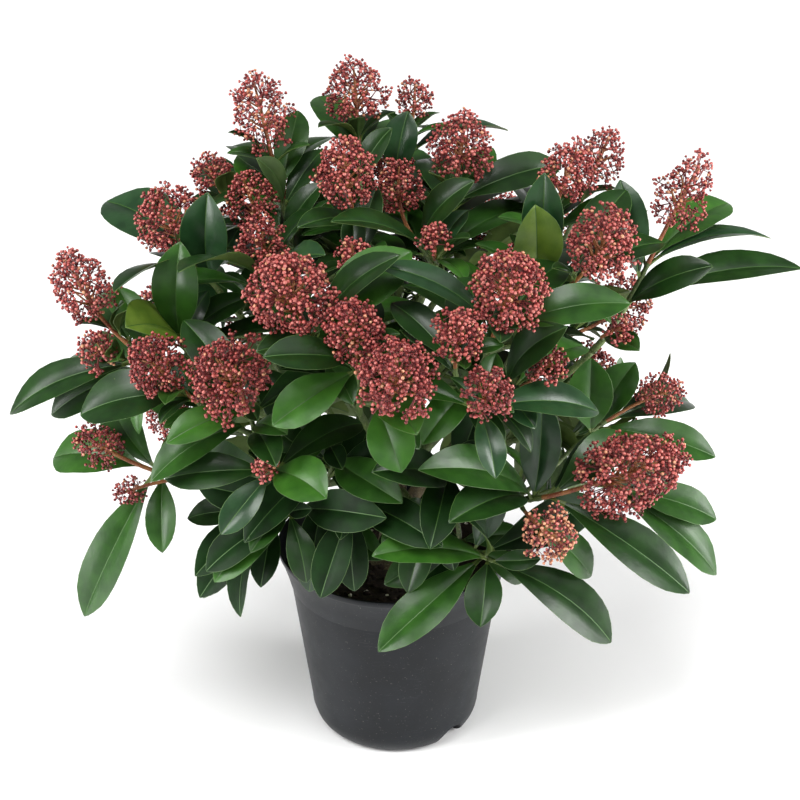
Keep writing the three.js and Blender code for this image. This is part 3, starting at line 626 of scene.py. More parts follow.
def grow_plant():
    """Every limb's curve and radii by name, and every mass with its grown shoots and leaves."""
    limbs = {}
    for name, leader in LEADERS.items():
        curve = bent(trunk_top() - LEADER_SUNK * UP, vec(leader.bend), vec(leader.to))
        limbs[name] = Row(curve=curve, radii=LEADER_RADII)
    masses = {}
    for index, (name, row) in enumerate({**MASSES, **back_masses()}.items()):
        start = limbs[row.carrier].curve(row.share)
        fork = vec(row.fork)
        sag = BOUGH_SAG * np.linalg.norm(fork - start)
        bend = start + (fork - start) * 0.5 - UP * sag
        forward = direction(bent(start, bend, fork), 1)
        foot = fork - STEM_LENGTH * forward
        limbs[f"bough_{name}"] = Row(curve=bent(start, bend, foot), radii=BOUGH_RADII)
        shoots = grown_shoots(row.shoots, foot, forward, SEEDS.mass * (index + 1))
        corners = corners_of(name)
        for grown in shoots:
            found = [standing_leaf(leaf, grown, corners) for leaf in leaves_of(grown)]
            grown.leaves_there = [leaf for leaf in found if leaf]
        masses[name] = shoots
    return limbs, masses


# ---- Meshes ----


def ring_faces(rows, sides):
    """Four-cornered faces between rows of points, each row a ring with so many sides."""
    row, side = np.meshgrid(np.arange(rows - 1), np.arange(sides), indexing="ij")
    here = (row * sides + side).ravel()
    beside = (row * sides + (side + 1) % sides).ravel()
    return np.stack([here, beside, beside + sides, here + sides], axis=1)


class Batch:
    """Points and faces gathered from many small shapes, and made into one mesh at the end."""

    def __init__(self, materials):
        self.materials = materials
        self.points = []
        self.faces = []
        self.looks = []
        self.count = 0

    def add(self, points, faces, looks):
        """faces: rows of point numbers, all with as many corners; looks: a material for each."""
        first = self.count
        self.points.append(np.asarray(points, float))
        self.count += len(points)
        self.more(faces, looks, first)

    def more(self, faces, looks, first):
        """More faces on points that are in already, counted from the point numbered first."""
        faces = np.asarray(faces)
        self.faces.append(faces + first)
        self.looks.append(np.broadcast_to(looks, len(faces)))

    def add_sleeve(self, points, sides, looks, end_looks):
        """Rows of points with faces between them, and one face over each end."""
        first, rows = self.count, len(points) // sides
        self.add(points, ring_faces(rows, sides), looks)
        last = (rows - 1) * sides
        ends = [np.arange(sides)[::-1], np.arange(last, last + sides)]
        self.more(ends, end_looks, first)

    def add_turned(self, rings, low, high, look):
        """A closed solid from rings round the pot's axis, and its lowest and highest middle."""
        first, segments = self.count, len(rings[0])
        points = [point for row in rings for point in row]
        middles = [(0, 0, low), (0, 0, high)]
        self.add([*points, *middles], ring_faces(len(rings), segments), look)
        side = np.arange(segments)
        after = (side + 1) % segments
        foot = np.full(segments, len(points))
        last = len(points) - segments
        self.more(np.stack([foot, after, side], axis=1), look, first)
        self.more(np.stack([foot + 1, last + side, last + after], axis=1), look, first)

    def make(self, name):
        mesh = bpy.data.meshes.new(name)
        points = np.concatenate(self.points) * MM
        corners = np.concatenate([faces.ravel() for faces in self.faces])
        sizes = np.concatenate([np.full(len(faces), faces.shape[1]) for faces in self.faces])
        starts = np.concatenate([[0], np.cumsum(sizes)[:-1]])
        mesh.vertices.add(len(points))
        mesh.vertices.foreach_set("co", points.astype(np.float32).ravel())
        mesh.loops.add(len(corners))
        mesh.polygons.add(len(sizes))
        mesh.polygons.foreach_set("loop_start", starts.astype(np.int32))
        mesh.loops.foreach_set("vertex_index", corners.astype(np.int32))
        for material in self.materials:
            mesh.materials.append(material)
        mesh.polygons.foreach_set("material_index", np.concatenate(self.looks).astype(np.int32))
        mesh.polygons.foreach_set("use_smooth", np.ones(len(sizes), bool))
        mesh.update(calc_edges=True)
        mesh.validate()
        return placed(name, mesh)


def placed(name, data):
    """A new object in the scene: a piece, the camera or a light."""
    thing = bpy.data.objects.new(name, data)
    bpy.context.scene.collection.objects.link(thing)
    return thing


def tube(batch, curve, radius_at, steps, sides, look_at, relief=None):
    """A closed round limb along a curve. relief, if given, adds to the radius at a point."""
    points = []
    across = vec((1, 0, 0))
    for i in range(steps + 1):
        u = i / steps
        middle = curve(u)
        across, over = frame_on(direction(curve, u), across)
        for k in range(sides):
            turn = 2 * math.pi * k / sides
            spoke = across * math.cos(turn) + over * math.sin(turn)
            radius = radius_at(u)
            if relief:
                radius += relief(middle + spoke * radius)
            points.append(middle + spoke * radius)
    looks = np.repeat([look_at((i + 0.5) / steps) for i in range(steps)], sides)
    batch.add_sleeve(points, sides, looks, [look_at(0), look_at(1)])


def dress(piece, slot, *nodes):
    """The piece moves with the plant and stands for the nodes. The slot is not used."""
    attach(piece, "root")
    if nodes:
        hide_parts(*nodes)


def mend(piece, work_on):
    """Opens a piece's mesh, works on it and puts it back."""
    work = bmesh.new()
    work.from_mesh(piece.data)
    work_on(work)
    work.to_mesh(piece.data)
    work.free()


def face_outwards(work):
    bmesh.ops.recalc_face_normals(work, faces=work.faces)


def harden_edges(work):
    """Smooth faces, with hard edges where two of them meet at too wide an angle."""
    for edge in work.edges:
        if edge.is_manifold:
            edge.smooth = edge.calc_face_angle(0) < math.radians(POT_HARD_EDGE)
    for face in work.faces:
        face.smooth = True


# ---- Materials. Colours are given as they look on a screen, 0 to 255 ----


def linear(colour):
    """A screen colour for a shader's socket."""
    shares = [c / 255 for c in colour]
    return tuple(s / 12.92 if s <= 0.04045 else ((s + 0.055) / 1.055) ** 2.4 for s in shares) + (1,)


class Shader:
    """A material with one Principled shader, and short ways to add nodes to it."""

    def __init__(self, name, roughness, **sockets):
        self.material = bpy.data.materials.new(name)
        self.material.use_nodes = True
        self.tree = self.material.node_tree
        self.bsdf = self.tree.nodes["Principled BSDF"]
        self.feed(self.bsdf, Roughness=roughness, **sockets)
        self.place = self.node("TexCoord").outputs["Object"]

    def feed(self, node, **inputs):
        """Each input is set to a value, or linked to an output."""
        for name, value in inputs.items():
            socket = node.inputs[name.replace("_", " ")]
            if isinstance(value, bpy.types.NodeSocket):
                self.tree.links.new(value, socket)
            else:
                socket.default_value = value
        return node

    def node(self, kind, **inputs):
        return self.feed(self.tree.nodes.new(f"ShaderNode{kind}"), **inputs)

    def noise(self, size, detail=3, roughness=0.5, stretch=None):
        """Noise whose patches are about so many millimetres across."""
        place = self.place
        if stretch:
            place = self.node("Mapping", Vector=place, Scale=stretch).outputs["Vector"]
        scale = 1 / (size * MM)
        node = self.node("TexNoise", Vector=place, Scale=scale, Detail=detail, Roughness=roughness)
        return node.outputs["Fac"]

    def ramp(self, value, *stops):
        """Colours by a value; each stop is a place from 0 to 1 and a colour."""
        node = self.node("ValToRGB", Fac=value)
        elements = node.color_ramp.elements
        while len(elements) < len(stops):
            elements.new(1)
        for element, (place, colour) in zip(elements, stops):
            element.position = place
            element.color = linear(colour)
        return node.outputs["Color"]

    def share(self, value, low, high):
        """A share that is 0 where the value is under low, and 1 where it is over high."""
        return self.ramp(value, (low, (0, 0, 0)), (high, (255, 255, 255)))

    def blend(self, share, low, high):
        """From one colour to another by a share; high may be an output too, as low is."""
        node = self.node("Mix")
        node.data_type = "RGBA"
        high = linear(high) if isinstance(high, tuple) else high
        return self.feed(node, Factor=share, A=low, B=high).outputs["Result"]

    def colour(self, colour):
        self.feed(self.bsdf, Base_Color=linear(colour) if isinstance(colour, tuple) else colour)

    def rough(self, value, low, high):
        node = self.node("MapRange", Value=value, To_Min=low, To_Max=high)
        self.feed(self.bsdf, Roughness=node.outputs["Result"])

    def bump(self, height, strength, depth):
        """Relief of a depth in millimetres, on top of the relief that is there."""
        node = self.node("Bump", Height=height, Strength=strength, Distance=depth * MM)
        under = self.bsdf.inputs["Normal"]
        if under.is_linked:
            self.feed(node, Normal=under.links[0].from_socket)
        self.feed(self.bsdf, Normal=node.outputs["Normal"])

    def relief(self, size, strength, depth, detail=2, **more):
        """Bumps about so many millimetres across, on top of the relief that is there."""
        self.bump(self.noise(size, detail, **more), strength, depth)


def leaf_material(name, dark, light, roughness, gloss):
    shader = Shader(name, roughness, Specular_IOR_Level=gloss)
    shader.colour(shader.ramp(shader.noise(size=16, detail=4), (0.35, dark), (0.65, light)))
    shader.rough(shader.noise(size=9), low=roughness - 0.06, high=roughness + 0.1)
    shader.relief(size=5, strength=0.25, depth=0.5)
    shader.relief(size=0.8, strength=0.1, depth=0.1)
    return shader.material


# Each face of a leaf: its name, its colour from dark to light, its roughness and its gloss.
LEAF_TOPS = (
    ("leaf_deep", (18, 42, 12), (28, 58, 18), 0.33, 0.32),
    ("leaf_mid", (28, 60, 16), (42, 80, 24), 0.33, 0.34),
    ("leaf_blue", (22, 50, 24), (36, 68, 36), 0.3, 0.44),
    ("leaf_bright", (38, 78, 20), (54, 98, 30), 0.34, 0.36),
    # leaf_shade: a darker, duller green that is painted shade for leaves low in the crown.
    ("leaf_shade", (12, 33, 9), (19, 48, 14), 0.48, 0.14),
    ("leaf_yellowish", (72, 98, 26), (96, 120, 40), 0.4, 0.36),
)
LEAF_UNDERS = (
    ("leaf_under", (72, 92, 40), (92, 112, 54), 0.55, 0.3),
    ("leaf_under_deep", (48, 70, 30), (66, 88, 42), 0.55, 0.3),
)
# The margin's paler green is partly its own colour, partly a painted highlight along the thin edge.
LEAF_LINES = (
    ("leaf_rib", 0.42, (54, 88, 34)),
    ("leaf_margin_and_highlight", 0.4, (72, 102, 48)),
    ("leaf_petiole", 0.45, (92, 112, 50)),
)
LEAF_LOOKS = {row[0]: look for look, row in enumerate((*LEAF_TOPS, *LEAF_UNDERS, *LEAF_LINES))}
TOP_SHARES = (0.36, 0.34, 0.16, 0.1, 0.04)
# The low masses take the leaf_shade look for about half their leaves: painted shade under the crown.
LOW_TOP_SHARES = (0.34, 0.12, 0.03, 0.02, 0.49)
LOW_MASSES = ("foot_left", "foot_right", "back_low_1", "back_low_2", "back_low_3")
UNDER_SHARES = (0.6, 0.4)
# Single leaves that aren't dealt their look: the mass, the shoot and the leaf's number on it.
CHOSEN_TOPS = by_place({
    "leaf_deep": (
        ("left", 1, 0), ("left", 1, 1), ("right", 0, 0), ("right", 0, 2), ("front_left", 0, 0),
        ("foot_right", 0, 0), ("foot_right", 0, 1),
    ),
    "leaf_mid": (("left", 2, 0), ("left_low", 0, 1), ("front_left", 1, 0), ("foot_right", 0, 2)),
    "leaf_blue": (
        ("right", 0, 1), ("right_low", 0, 1), ("top_middle", 1, 0), ("right_high", 0, 0),
        ("left_high", 0, 1),
    ),
    "leaf_bright": (
        ("front", 1, 0), ("front", 2, 0), ("front", 2, 1), ("left_low", 1, 1), ("left_low", 0, 0),
        ("foot_right", 0, 3), ("right_low", 1, 0),
    ),
    "leaf_yellowish": (("left", 2, 1), ("right_high", 0, 1)),
    "leaf_under_deep": (("top_left", 0, 1),),
})
# Leaves that are rounder than the rest, and one that is narrower: how many times as wide.
ROUND_LEAVES = by_place({
    0.75: (("front_right", 0, 1),),
    1.2: (("left_high", 0, 1), ("left", 2, 0), ("front", 1, 0), ("right", 1, 0)),
    1.25: (("front", 0, 0), ("top_middle", 1, 0)),
    1.3: (("left_low", 0, 0), ("right_high", 0, 1), ("right_low", 1, 1), ("foot_right", 0, 1)),
    1.4: (("left_high", 0, 0), ("front", 2, 1), ("right_low", 1, 0)),
    1.5: (("front_left", 0, 0), ("front", 2, 0)),
    1.6: (("left_low", 1, 1),),
    1.7: (("left", 2, 1),),
})


def plain_material(name, roughness, colour, **sockets):
    shader = Shader(name, roughness, **sockets)
    shader.colour(colour)
    return shader.material


def leaf_materials():
    faces = [leaf_material(*row) for row in (*LEAF_TOPS, *LEAF_UNDERS)]
    return faces + [plain_material(*row) for row in LEAF_LINES]


def bark_material(name, young, old, lenticel, roughness):
    shader = Shader(name, roughness)
    flow = shader.noise(size=7, detail=5, stretch=(1, 1, 0.35))
    bark = shader.ramp(flow, (0.36, old), (0.62, young))
    spots = shader.share(shader.noise(size=1.1, detail=1), low=0.6, high=0.68)
    shader.colour(shader.blend(spots, bark, lenticel))
    shader.relief(size=2.2, detail=4, stretch=(1, 1, 0.4), strength=0.5, depth=0.6)
    return shader.material


# Each bark: its colour when young and old, its lenticels and its roughness.
STEMS = (
    ("bark_old", (98, 86, 62), (62, 54, 40), (122, 112, 88), 0.8),
    ("bark_green", (86, 108, 52), (62, 78, 38), (120, 122, 82), 0.55),
    ("stalk", (150, 96, 52), (120, 56, 40), (176, 130, 84), 0.5),
    ("branchlet", (132, 50, 50), (92, 28, 34), (156, 84, 72), 0.5),
)
OLD_BARK, GREEN_BARK, STALK, BRANCHLET = range(len(STEMS))

# Each tint of bud: its sides, from dark to light, and the paler tip where its petals meet, partly a
# painted highlight on every bud's top.
BUD_TINTS = (
    ("bud_deep", (86, 22, 25), (116, 36, 36), (146, 64, 58)),
    ("bud_rose", (118, 36, 38), (150, 56, 52), (182, 94, 84)),
    ("bud_pink", (144, 58, 56), (174, 84, 77), (198, 126, 116)),
    ("bud_salmon", (150, 84, 58), (182, 116, 84), (204, 156, 122)),
)
# The calyx at each bud's foot: partly its own dark crimson, partly painted shade where the buds meet.
CALYX_AND_SHADE = ("bud_calyx_and_shade", (60, 16, 22), (84, 28, 32))
CALYX_AND_SHADE_LOOK = 2 * len(BUD_TINTS)


def bud_material(name, low, high):
    shader = Shader(name, roughness=0.36, Specular_IOR_Level=0.5)
    shader.colour(shader.ramp(shader.noise(size=2.4, detail=2), (0.3, low), (0.7, high)))
    shader.relief(size=0.7, detail=1, strength=0.15, depth=0.15)
    return shader.material


def bud_materials():
    sides = [bud_material(name, low, high) for name, low, high, _ in BUD_TINTS]
    # Each tip look runs to a paler colour on the bud's top: partly its own colour, partly a painted
    # highlight.
    tips = [bud_material(f"{name}_tip", high, tip) for name, _, high, tip in BUD_TINTS]
    return [*sides, *tips, bud_material(*CALYX_AND_SHADE)]


PLASTIC = Row(dark=(17, 19, 22), light=(23, 26, 30), scuffed=(70, 72, 75), dust=(84, 82, 78))
PEAT_BROWNS = ((0.3, (22, 16, 12)), (0.55, (44, 31, 23)), (0.75, (70, 53, 39)))
PERLITE_WHITE = (214, 208, 196)


def pot_material():
    """Dark grey plastic, with worn streaks down it and grains of dust."""
    shader = Shader("pot_plastic", roughness=0.42, Specular_IOR_Level=0.2)
    plastic = shader.noise(size=38, detail=4)
    plastic = shader.ramp(plastic, (0.3, PLASTIC.dark), (0.7, PLASTIC.light))
    streaks = shader.noise(size=14, detail=6, roughness=0.7, stretch=(1, 1, 26))
    streaks = shader.share(streaks, low=0.6, high=0.74)
    patches = shader.share(shader.noise(size=24, detail=2), low=0.45, high=0.62)
    scuffed = shader.blend(patches, plastic, PLASTIC.scuffed)
    worn = shader.blend(streaks, plastic, scuffed)
    dust = shader.share(shader.noise(size=1.6, detail=2), low=0.68, high=0.76)
    shader.colour(shader.blend(dust, worn, PLASTIC.dust))
    shader.rough(shader.noise(size=11, detail=5), low=0.34, high=0.52)
    shader.relief(size=0.9, strength=0.12, depth=0.12)
    shader.bump(streaks, strength=0.2, depth=0.08)
    return shader.material


def peat_material():
    shader = Shader("peat", roughness=0.95)
    shader.colour(shader.ramp(shader.noise(size=3.5, detail=6, roughness=0.7), *PEAT_BROWNS))
    shader.relief(size=2, detail=6, roughness=0.75, strength=0.9, depth=1.6)
    return shader.material


def perlite_material():
    shader = Shader("perlite", roughness=0.85)
    shader.colour(PERLITE_WHITE)
    shader.relief(size=1.2, detail=3, strength=0.6, depth=0.5)
    return shader.material


# ---- Leaves ----

# Round a leaf's section, over the top and back below it: which look each strip has.
TOP_LOOKS = ("margin", "top", "top", "rib", "rib", "top", "top", "margin")
UNDER_LOOKS = ("under", "under", "under", "rib", "rib", "under", "under", "under")
LEAF_SIDES = len(TOP_LOOKS) + len(UNDER_LOOKS)


def leaf_section(half):
    """Where each point of a leaf's section is across it, over the top and back below."""
    margin = 1 - min(LEAF_MARGIN.most, LEAF_MARGIN.width / half)
    vein = min(LEAF_RIB.most, LEAF_RIB.width / half)
    top = [-1, -margin, -0.5, -vein, 0, vein, 0.5, margin, 1]
    return np.array(top), np.array(top[-2:0:-1])


def live_width(length):
    """A leaf's width in shares of its length: short leaves are rounder than long ones."""
    form = LEAF_LIVE_WIDTH
    rounder = 1 + form.shorter_is_wider * (1 - length / form.usual)
    return min(form.most, form.share * rounder)


def leaf_frame(leaf):
    """From a leaf's root to its tip, how long that is, and the ways to its side and its face."""
    chord = leaf.tip - leaf.root
    length = np.linalg.norm(chord)
    along = chord / length
    normal, _ = frame_on(along, leaf.facing)
    return chord, length, np.cross(along, normal), normal


def bow_at(length, share):
    return LEAF.bow * length * 4 * share * (1 - share)


def add_leaf(batch, leaf, rounder, top_look, under_look, random):
    chord, length, side, normal = leaf_frame(leaf)
    half = length * live_width(length) * rounder / 2
    own = Row((habit, spread(random, *limits)) for habit, limits in LEAF_HABITS.items())
    points = []
    for share, width in LEAF_OUTLINE:
        reach = half * width
        top, under = leaf_section(max(reach, LEAF_MARGIN.edge))
        bend = math.radians(own.twist) * share
        flat = side * math.cos(bend) + normal * math.sin(bend)
        raised = normal * math.cos(bend) - side * math.sin(bend)
        droop = own.recurve * length * max(0, share - LEAF_RISE.recurve_from) ** 2
        middle = leaf.root + chord * share + normal * (bow_at(length, share) - droop)
        middle = middle + side * (own.sway * length * math.sin(math.pi * share))
        petiole = LEAF_THICKNESS.petiole * max(0, 1 - share / LEAF_THICKNESS.petiole_to)
        thickness = LEAF_THICKNESS.blade + petiole

        def lift(u):
            phase = own.waves * 2 * math.pi * share + own.phase + u
            wave = own.ruffle * half * width * u * u * np.sin(phase)
            cupped = LEAF_RISE.at_rib - own.cup * abs(u)
            return LEAF.fold * reach * abs(u) * cupped + wave

        over = lift(top) - np.where(top == 0, LEAF_RIB.groove, 0)
        keel = np.where(under == 0, LEAF_RIB.keel * (1 - share), 0)
        below = lift(under) - thickness * (1 - LEAF_THICKNESS.thinner_margin * under**2) - keel
        u = np.concatenate([top, under])
        rise = np.concatenate([over, below])
        points.append(middle + np.outer(u * reach, flat) + np.outer(rise, raised))
    petiole_look = LEAF_LOOKS["leaf_petiole"]
    looks = {"top": top_look, "under": under_look}
    looks |= {"margin": LEAF_LOOKS["leaf_margin_and_highlight"], "rib": LEAF_LOOKS["leaf_rib"]}
    blade = np.array([looks[name] for name in (*TOP_LOOKS, *UNDER_LOOKS)])
    petiole = np.full(LEAF_SIDES, petiole_look)
    rows = [petiole if share < PETIOLE_END else blade for share, _ in LEAF_OUTLINE[:-1]]
    ends = [petiole_look, top_look]
    batch.add_sleeve(np.concatenate(points), LEAF_SIDES, np.concatenate(rows), ends)


def leaf_probe(leaf):
    """A few points along the leaf and its margins, to keep others clear of it."""
    chord, length, side, normal = leaf_frame(leaf)
    half = length * LEAF.width / 2
    points = []
    for share in LEAF_PROBE.shares:
        width = np.interp(share, *zip(*LEAF_OUTLINE))
        for u in LEAF_PROBE.across:
            lift = bow_at(length, share) + abs(u) * width * half * LEAF.fold
            points.append(leaf.root + chord * share + side * (u * width * half) + normal * lift)
    return points


class Crowd:
    """Points that are taken, kept in cubic cells, so that what comes next can keep clear."""

    def __init__(self, cell):
        self.cell = cell
        self.cells = {}

    def key(self, point):
        return tuple(int(c // self.cell) for c in point)

    def add(self, points):
        for point in points:
            self.cells.setdefault(self.key(point), []).append(point)

    def is_clear(self, points, gap):
        for point in points:
            x, y, z = self.key(point)
            for cell in itertools.product((x - 1, x, x + 1), (y - 1, y, y + 1), (z - 1, z, z + 1)):
                for other in self.cells.get(cell, ()):
                    if abs(other - point).max() < gap and np.linalg.norm(other - point) < gap:
                        return False
        return True


def young_leaves(shoot, back, random, crowd):
    """Smaller leaves in the gaps: some round the neck, and some down the twig, where it is clear."""
    length = length_of(shoot.knots)
    first, least = YOUNG_TWIG.down
    down_twig = (first, max(least, YOUNG.down_twig * length - shoot.drop))
    tries = YOUNG_BACK_TRIES if back else YOUNG_TWIG.tries
    plans = []
    for form, count, downs in (
        (YOUNG_NECK, YOUNG_NECK.tries, YOUNG_NECK.down),
        (YOUNG_TWIG, tries, down_twig),
    ):
        for _ in range(count):
            down = spread(random, *downs)
            plans.append((down, form.length * spread(random, *form.longer), form.open))
    found = []
    for down, reach, openings in plans:
        turn = 2 * math.pi * random()
        opening = math.radians(spread(random, *openings))
        root = down_knots(shoot.knots, min(shoot.drop + down, YOUNG.lowest * length))
        along = opened(shoot.axis, shoot.sides, turn, opening)
        leaf = Row(root=root, tip=root + along * reach, facing=shoot.facing)
        probe = leaf_probe(leaf)
        if crowd.is_clear(probe[PROBE_FREE:], YOUNG.gap):
            found.append(leaf)
            crowd.add(probe)
    return found


def make_leaves(name, shoots, materials, crowd):
    batch = Batch(materials)
    shares = LOW_TOP_SHARES if name in LOW_MASSES else TOP_SHARES
    back = name.startswith("back")
    for k, grown in enumerate(shoots):
        random = seeded(grown.seed + SEEDS.leaves)
        young = [] if name in BARE_MASSES else young_leaves(grown, back, random, crowd)
        for leaf in [*grown.leaves_there, *young]:
            place = (name, k, leaf.get("number"))
            top_look = dealt(random, shares)
            if place in CHOSEN_TOPS:
                top_look = LEAF_LOOKS[CHOSEN_TOPS[place]]
            under_look = len(LEAF_TOPS) + dealt(random, UNDER_SHARES)
            add_leaf(batch, leaf, ROUND_LEAVES.get(place, 1), top_look, under_look, random)
    dress(batch.make(f"leaves_{name}"), "foliage", name)


# ---- Stems ----


def bark_relief(depth, size):
    """Fissures and lumps in the bark, finer ones on top of larger ones."""

    def relief(point):
        at = Vector(point / size)
        return depth * (noise.noise(at) + BARK_FINER.depth * noise.noise(at * BARK_FINER.size))

    return relief


def make_trunk(materials):
    batch = Batch(materials)
    height = TRUNK.height
    foot = vec((0, 0, PEAT_TOP + CLEARANCE - TRUNK_BARK.sunk))
    curve = bent(foot, vec((0, 0, PEAT_TOP + TRUNK_BARK.bend * height)), trunk_top())
    plain = taper((TRUNK.foot_radius, TRUNK.top_radius))

    def radius(u):
        flare = TRUNK.foot_radius * TRUNK.flare * math.exp(-u * height / TRUNK.flare_height)
        return plain(u) + flare

    relief = bark_relief(*TRUNK_BARK.relief)
    tube(batch, curve, radius, TRUNK_BARK.steps, TRUNK_BARK.sides, lambda u: OLD_BARK, relief)
    dress(batch.make("trunk_bark"), "bark", "trunk")


def make_limb(name, limb, materials):
    """A leader or bough, with a swollen collar where it leaves its carrier."""
    batch = Batch(materials)
    curve, plain = limb.curve, taper(limb.radii)
    length = np.linalg.norm(curve(1) - curve(0))
    skin, look = (LEADER_BARK, OLD_BARK) if name in LEADERS else (BOUGH_BARK, GREEN_BARK)

    def radius(u):
        return plain(u) * (1 + BARK_COLLAR.swell * math.exp(-u * length / BARK_COLLAR.fades_in))

    def look_at(u):
        return look if u > BARK_COLLAR.old_to else OLD_BARK

    steps = max(LIMB_STEP.least, round(length / LIMB_STEP.length))
    tube(batch, curve, radius, steps, skin.sides, look_at, bark_relief(*skin.relief))
    dress(batch.make(f"{name}_bark"), "bark", name)


def make_twigs(name, shoots, materials):
    """The twigs of a mass, green, with a swelling at each leaf and a rusty stalk over them."""
    batch = Batch(materials)
    for grown in shoots:
        length = length_of(grown.knots)
        plain = taper(grown.form.radii)
        stalk_from = 1 - (grown.drop + TWIG_SKIN.stalk_under) / length

        def radius(u):
            swelling = TWIG_SKIN.swell * math.sin(u * length / WHORL.pitch * math.pi)
            return plain(u) * (1 + swelling if u < stalk_from else TWIG_SKIN.stalk)

        def look_at(u):
            return STALK if grown.bloom and u > stalk_from else GREEN_BARK

        steps = max(TWIG_SKIN.least, round(length / TWIG_SKIN.step))
        tube(batch, grown.twig, radius, steps, TWIG_SKIN.sides, look_at)
    dress(batch.make(f"twigs_{name}"), "bark")


# ---- Flower heads ----


def bud_template():
    """A bud of radius 1 whose foot is on -Z: its points and its faces, foot, sides and tip."""
    points = [(0, 0, -1)]
    for row, (rise, out) in enumerate(BUD_RINGS):
        for k in range(BUD_SIDES):
            turn = 2 * math.pi * (k + row / 2) / BUD_SIDES
            points.append((out * math.cos(turn), out * math.sin(turn), rise))
    points.append((0, 0, BUD.tip))
    top = len(points) - 1
    foot, sides, tip = [], [], []
    for k in range(BUD_SIDES):
        low, low_next = 1 + k, 1 + (k + 1) % BUD_SIDES
        high, high_next = low + BUD_SIDES, low_next + BUD_SIDES
        foot.append((0, low_next, low))
        sides += [(low, low_next, high), (low_next, high_next, high)]
        tip.append((high, high_next, top))
    return np.array(points, float), np.array([*foot, *sides, *tip])


BUD_POINTS, BUD_FACES = bud_template()


STEEP = 0.9


def units(rows):
    return rows / np.linalg.norm(rows, axis=1, keepdims=True)


def frames_on(directions):
    """For each direction, two more that are square to it and to each other."""
    steep = np.abs(directions[:, 2:3]) >= STEEP
    hints = np.where(steep, vec((1, 0, 0)), UP)
    across = units(np.cross(directions, hints))
    return across, np.cross(directions, across)


def add_buds(batch, centres, directions, radii, tints):
    across, over = frames_on(directions)
    axes = np.stack([across, over, directions], axis=1)
    points = np.einsum("pk,bkc->bpc", BUD_POINTS, axes) * radii[:, None, None] + centres[:, None, :]
    faces = BUD_FACES[None] + len(BUD_POINTS) * np.arange(len(centres))[:, None, None]
    # Each bud's foot takes the calyx look, partly painted shade.
    foot = np.full((len(centres), BUD_SIDES), CALYX_AND_SHADE_LOOK)
    sides = np.repeat(tints[:, None], 2 * BUD_SIDES, axis=1)
    # The top of each bud takes its tip look, partly a painted highlight.
    tips = np.repeat(tints[:, None] + len(BUD_TINTS), BUD_SIDES, axis=1)
    looks = np.concatenate([foot, sides, tips], axis=1)
    batch.add(points.reshape(-1, 3), faces.reshape(-1, 3), looks.ravel())


def add_pedicels(batch, starts, ends, look):
    """The thin stalks from starts to ends, open where hub and bud hide them."""
    sides = PEDICEL.sides
    across, over = frames_on(units(ends - starts))
    turns = 2 * np.pi * np.arange(sides) / sides
    spokes = across[:, None] * np.cos(turns)[None, :, None] + over[:, None] * np.sin(turns)[None, :, None]
    rings = [middles[:, None] + spokes * PEDICEL.radius for middles in (starts, ends)]
    points = np.concatenate(rings, axis=1)
    faces = ring_faces(2, sides)[None] + 2 * sides * np.arange(len(starts))[:, None, None]
    batch.add(points.reshape(-1, 3), faces.reshape(-1, 4), look)


# The stalks inside a head, from its middle out.
HEAD_STALKS = Row(
    middle=Row(radii=(1.5, 0.7), steps=5, sides=5, look=STALK),
    branch=Row(radii=(0.95, 0.7), steps=3, sides=4, look=STALK),
    branchlet=Row(radii=(0.65, 0.45), steps=2, sides=3, look=BRANCHLET),
)


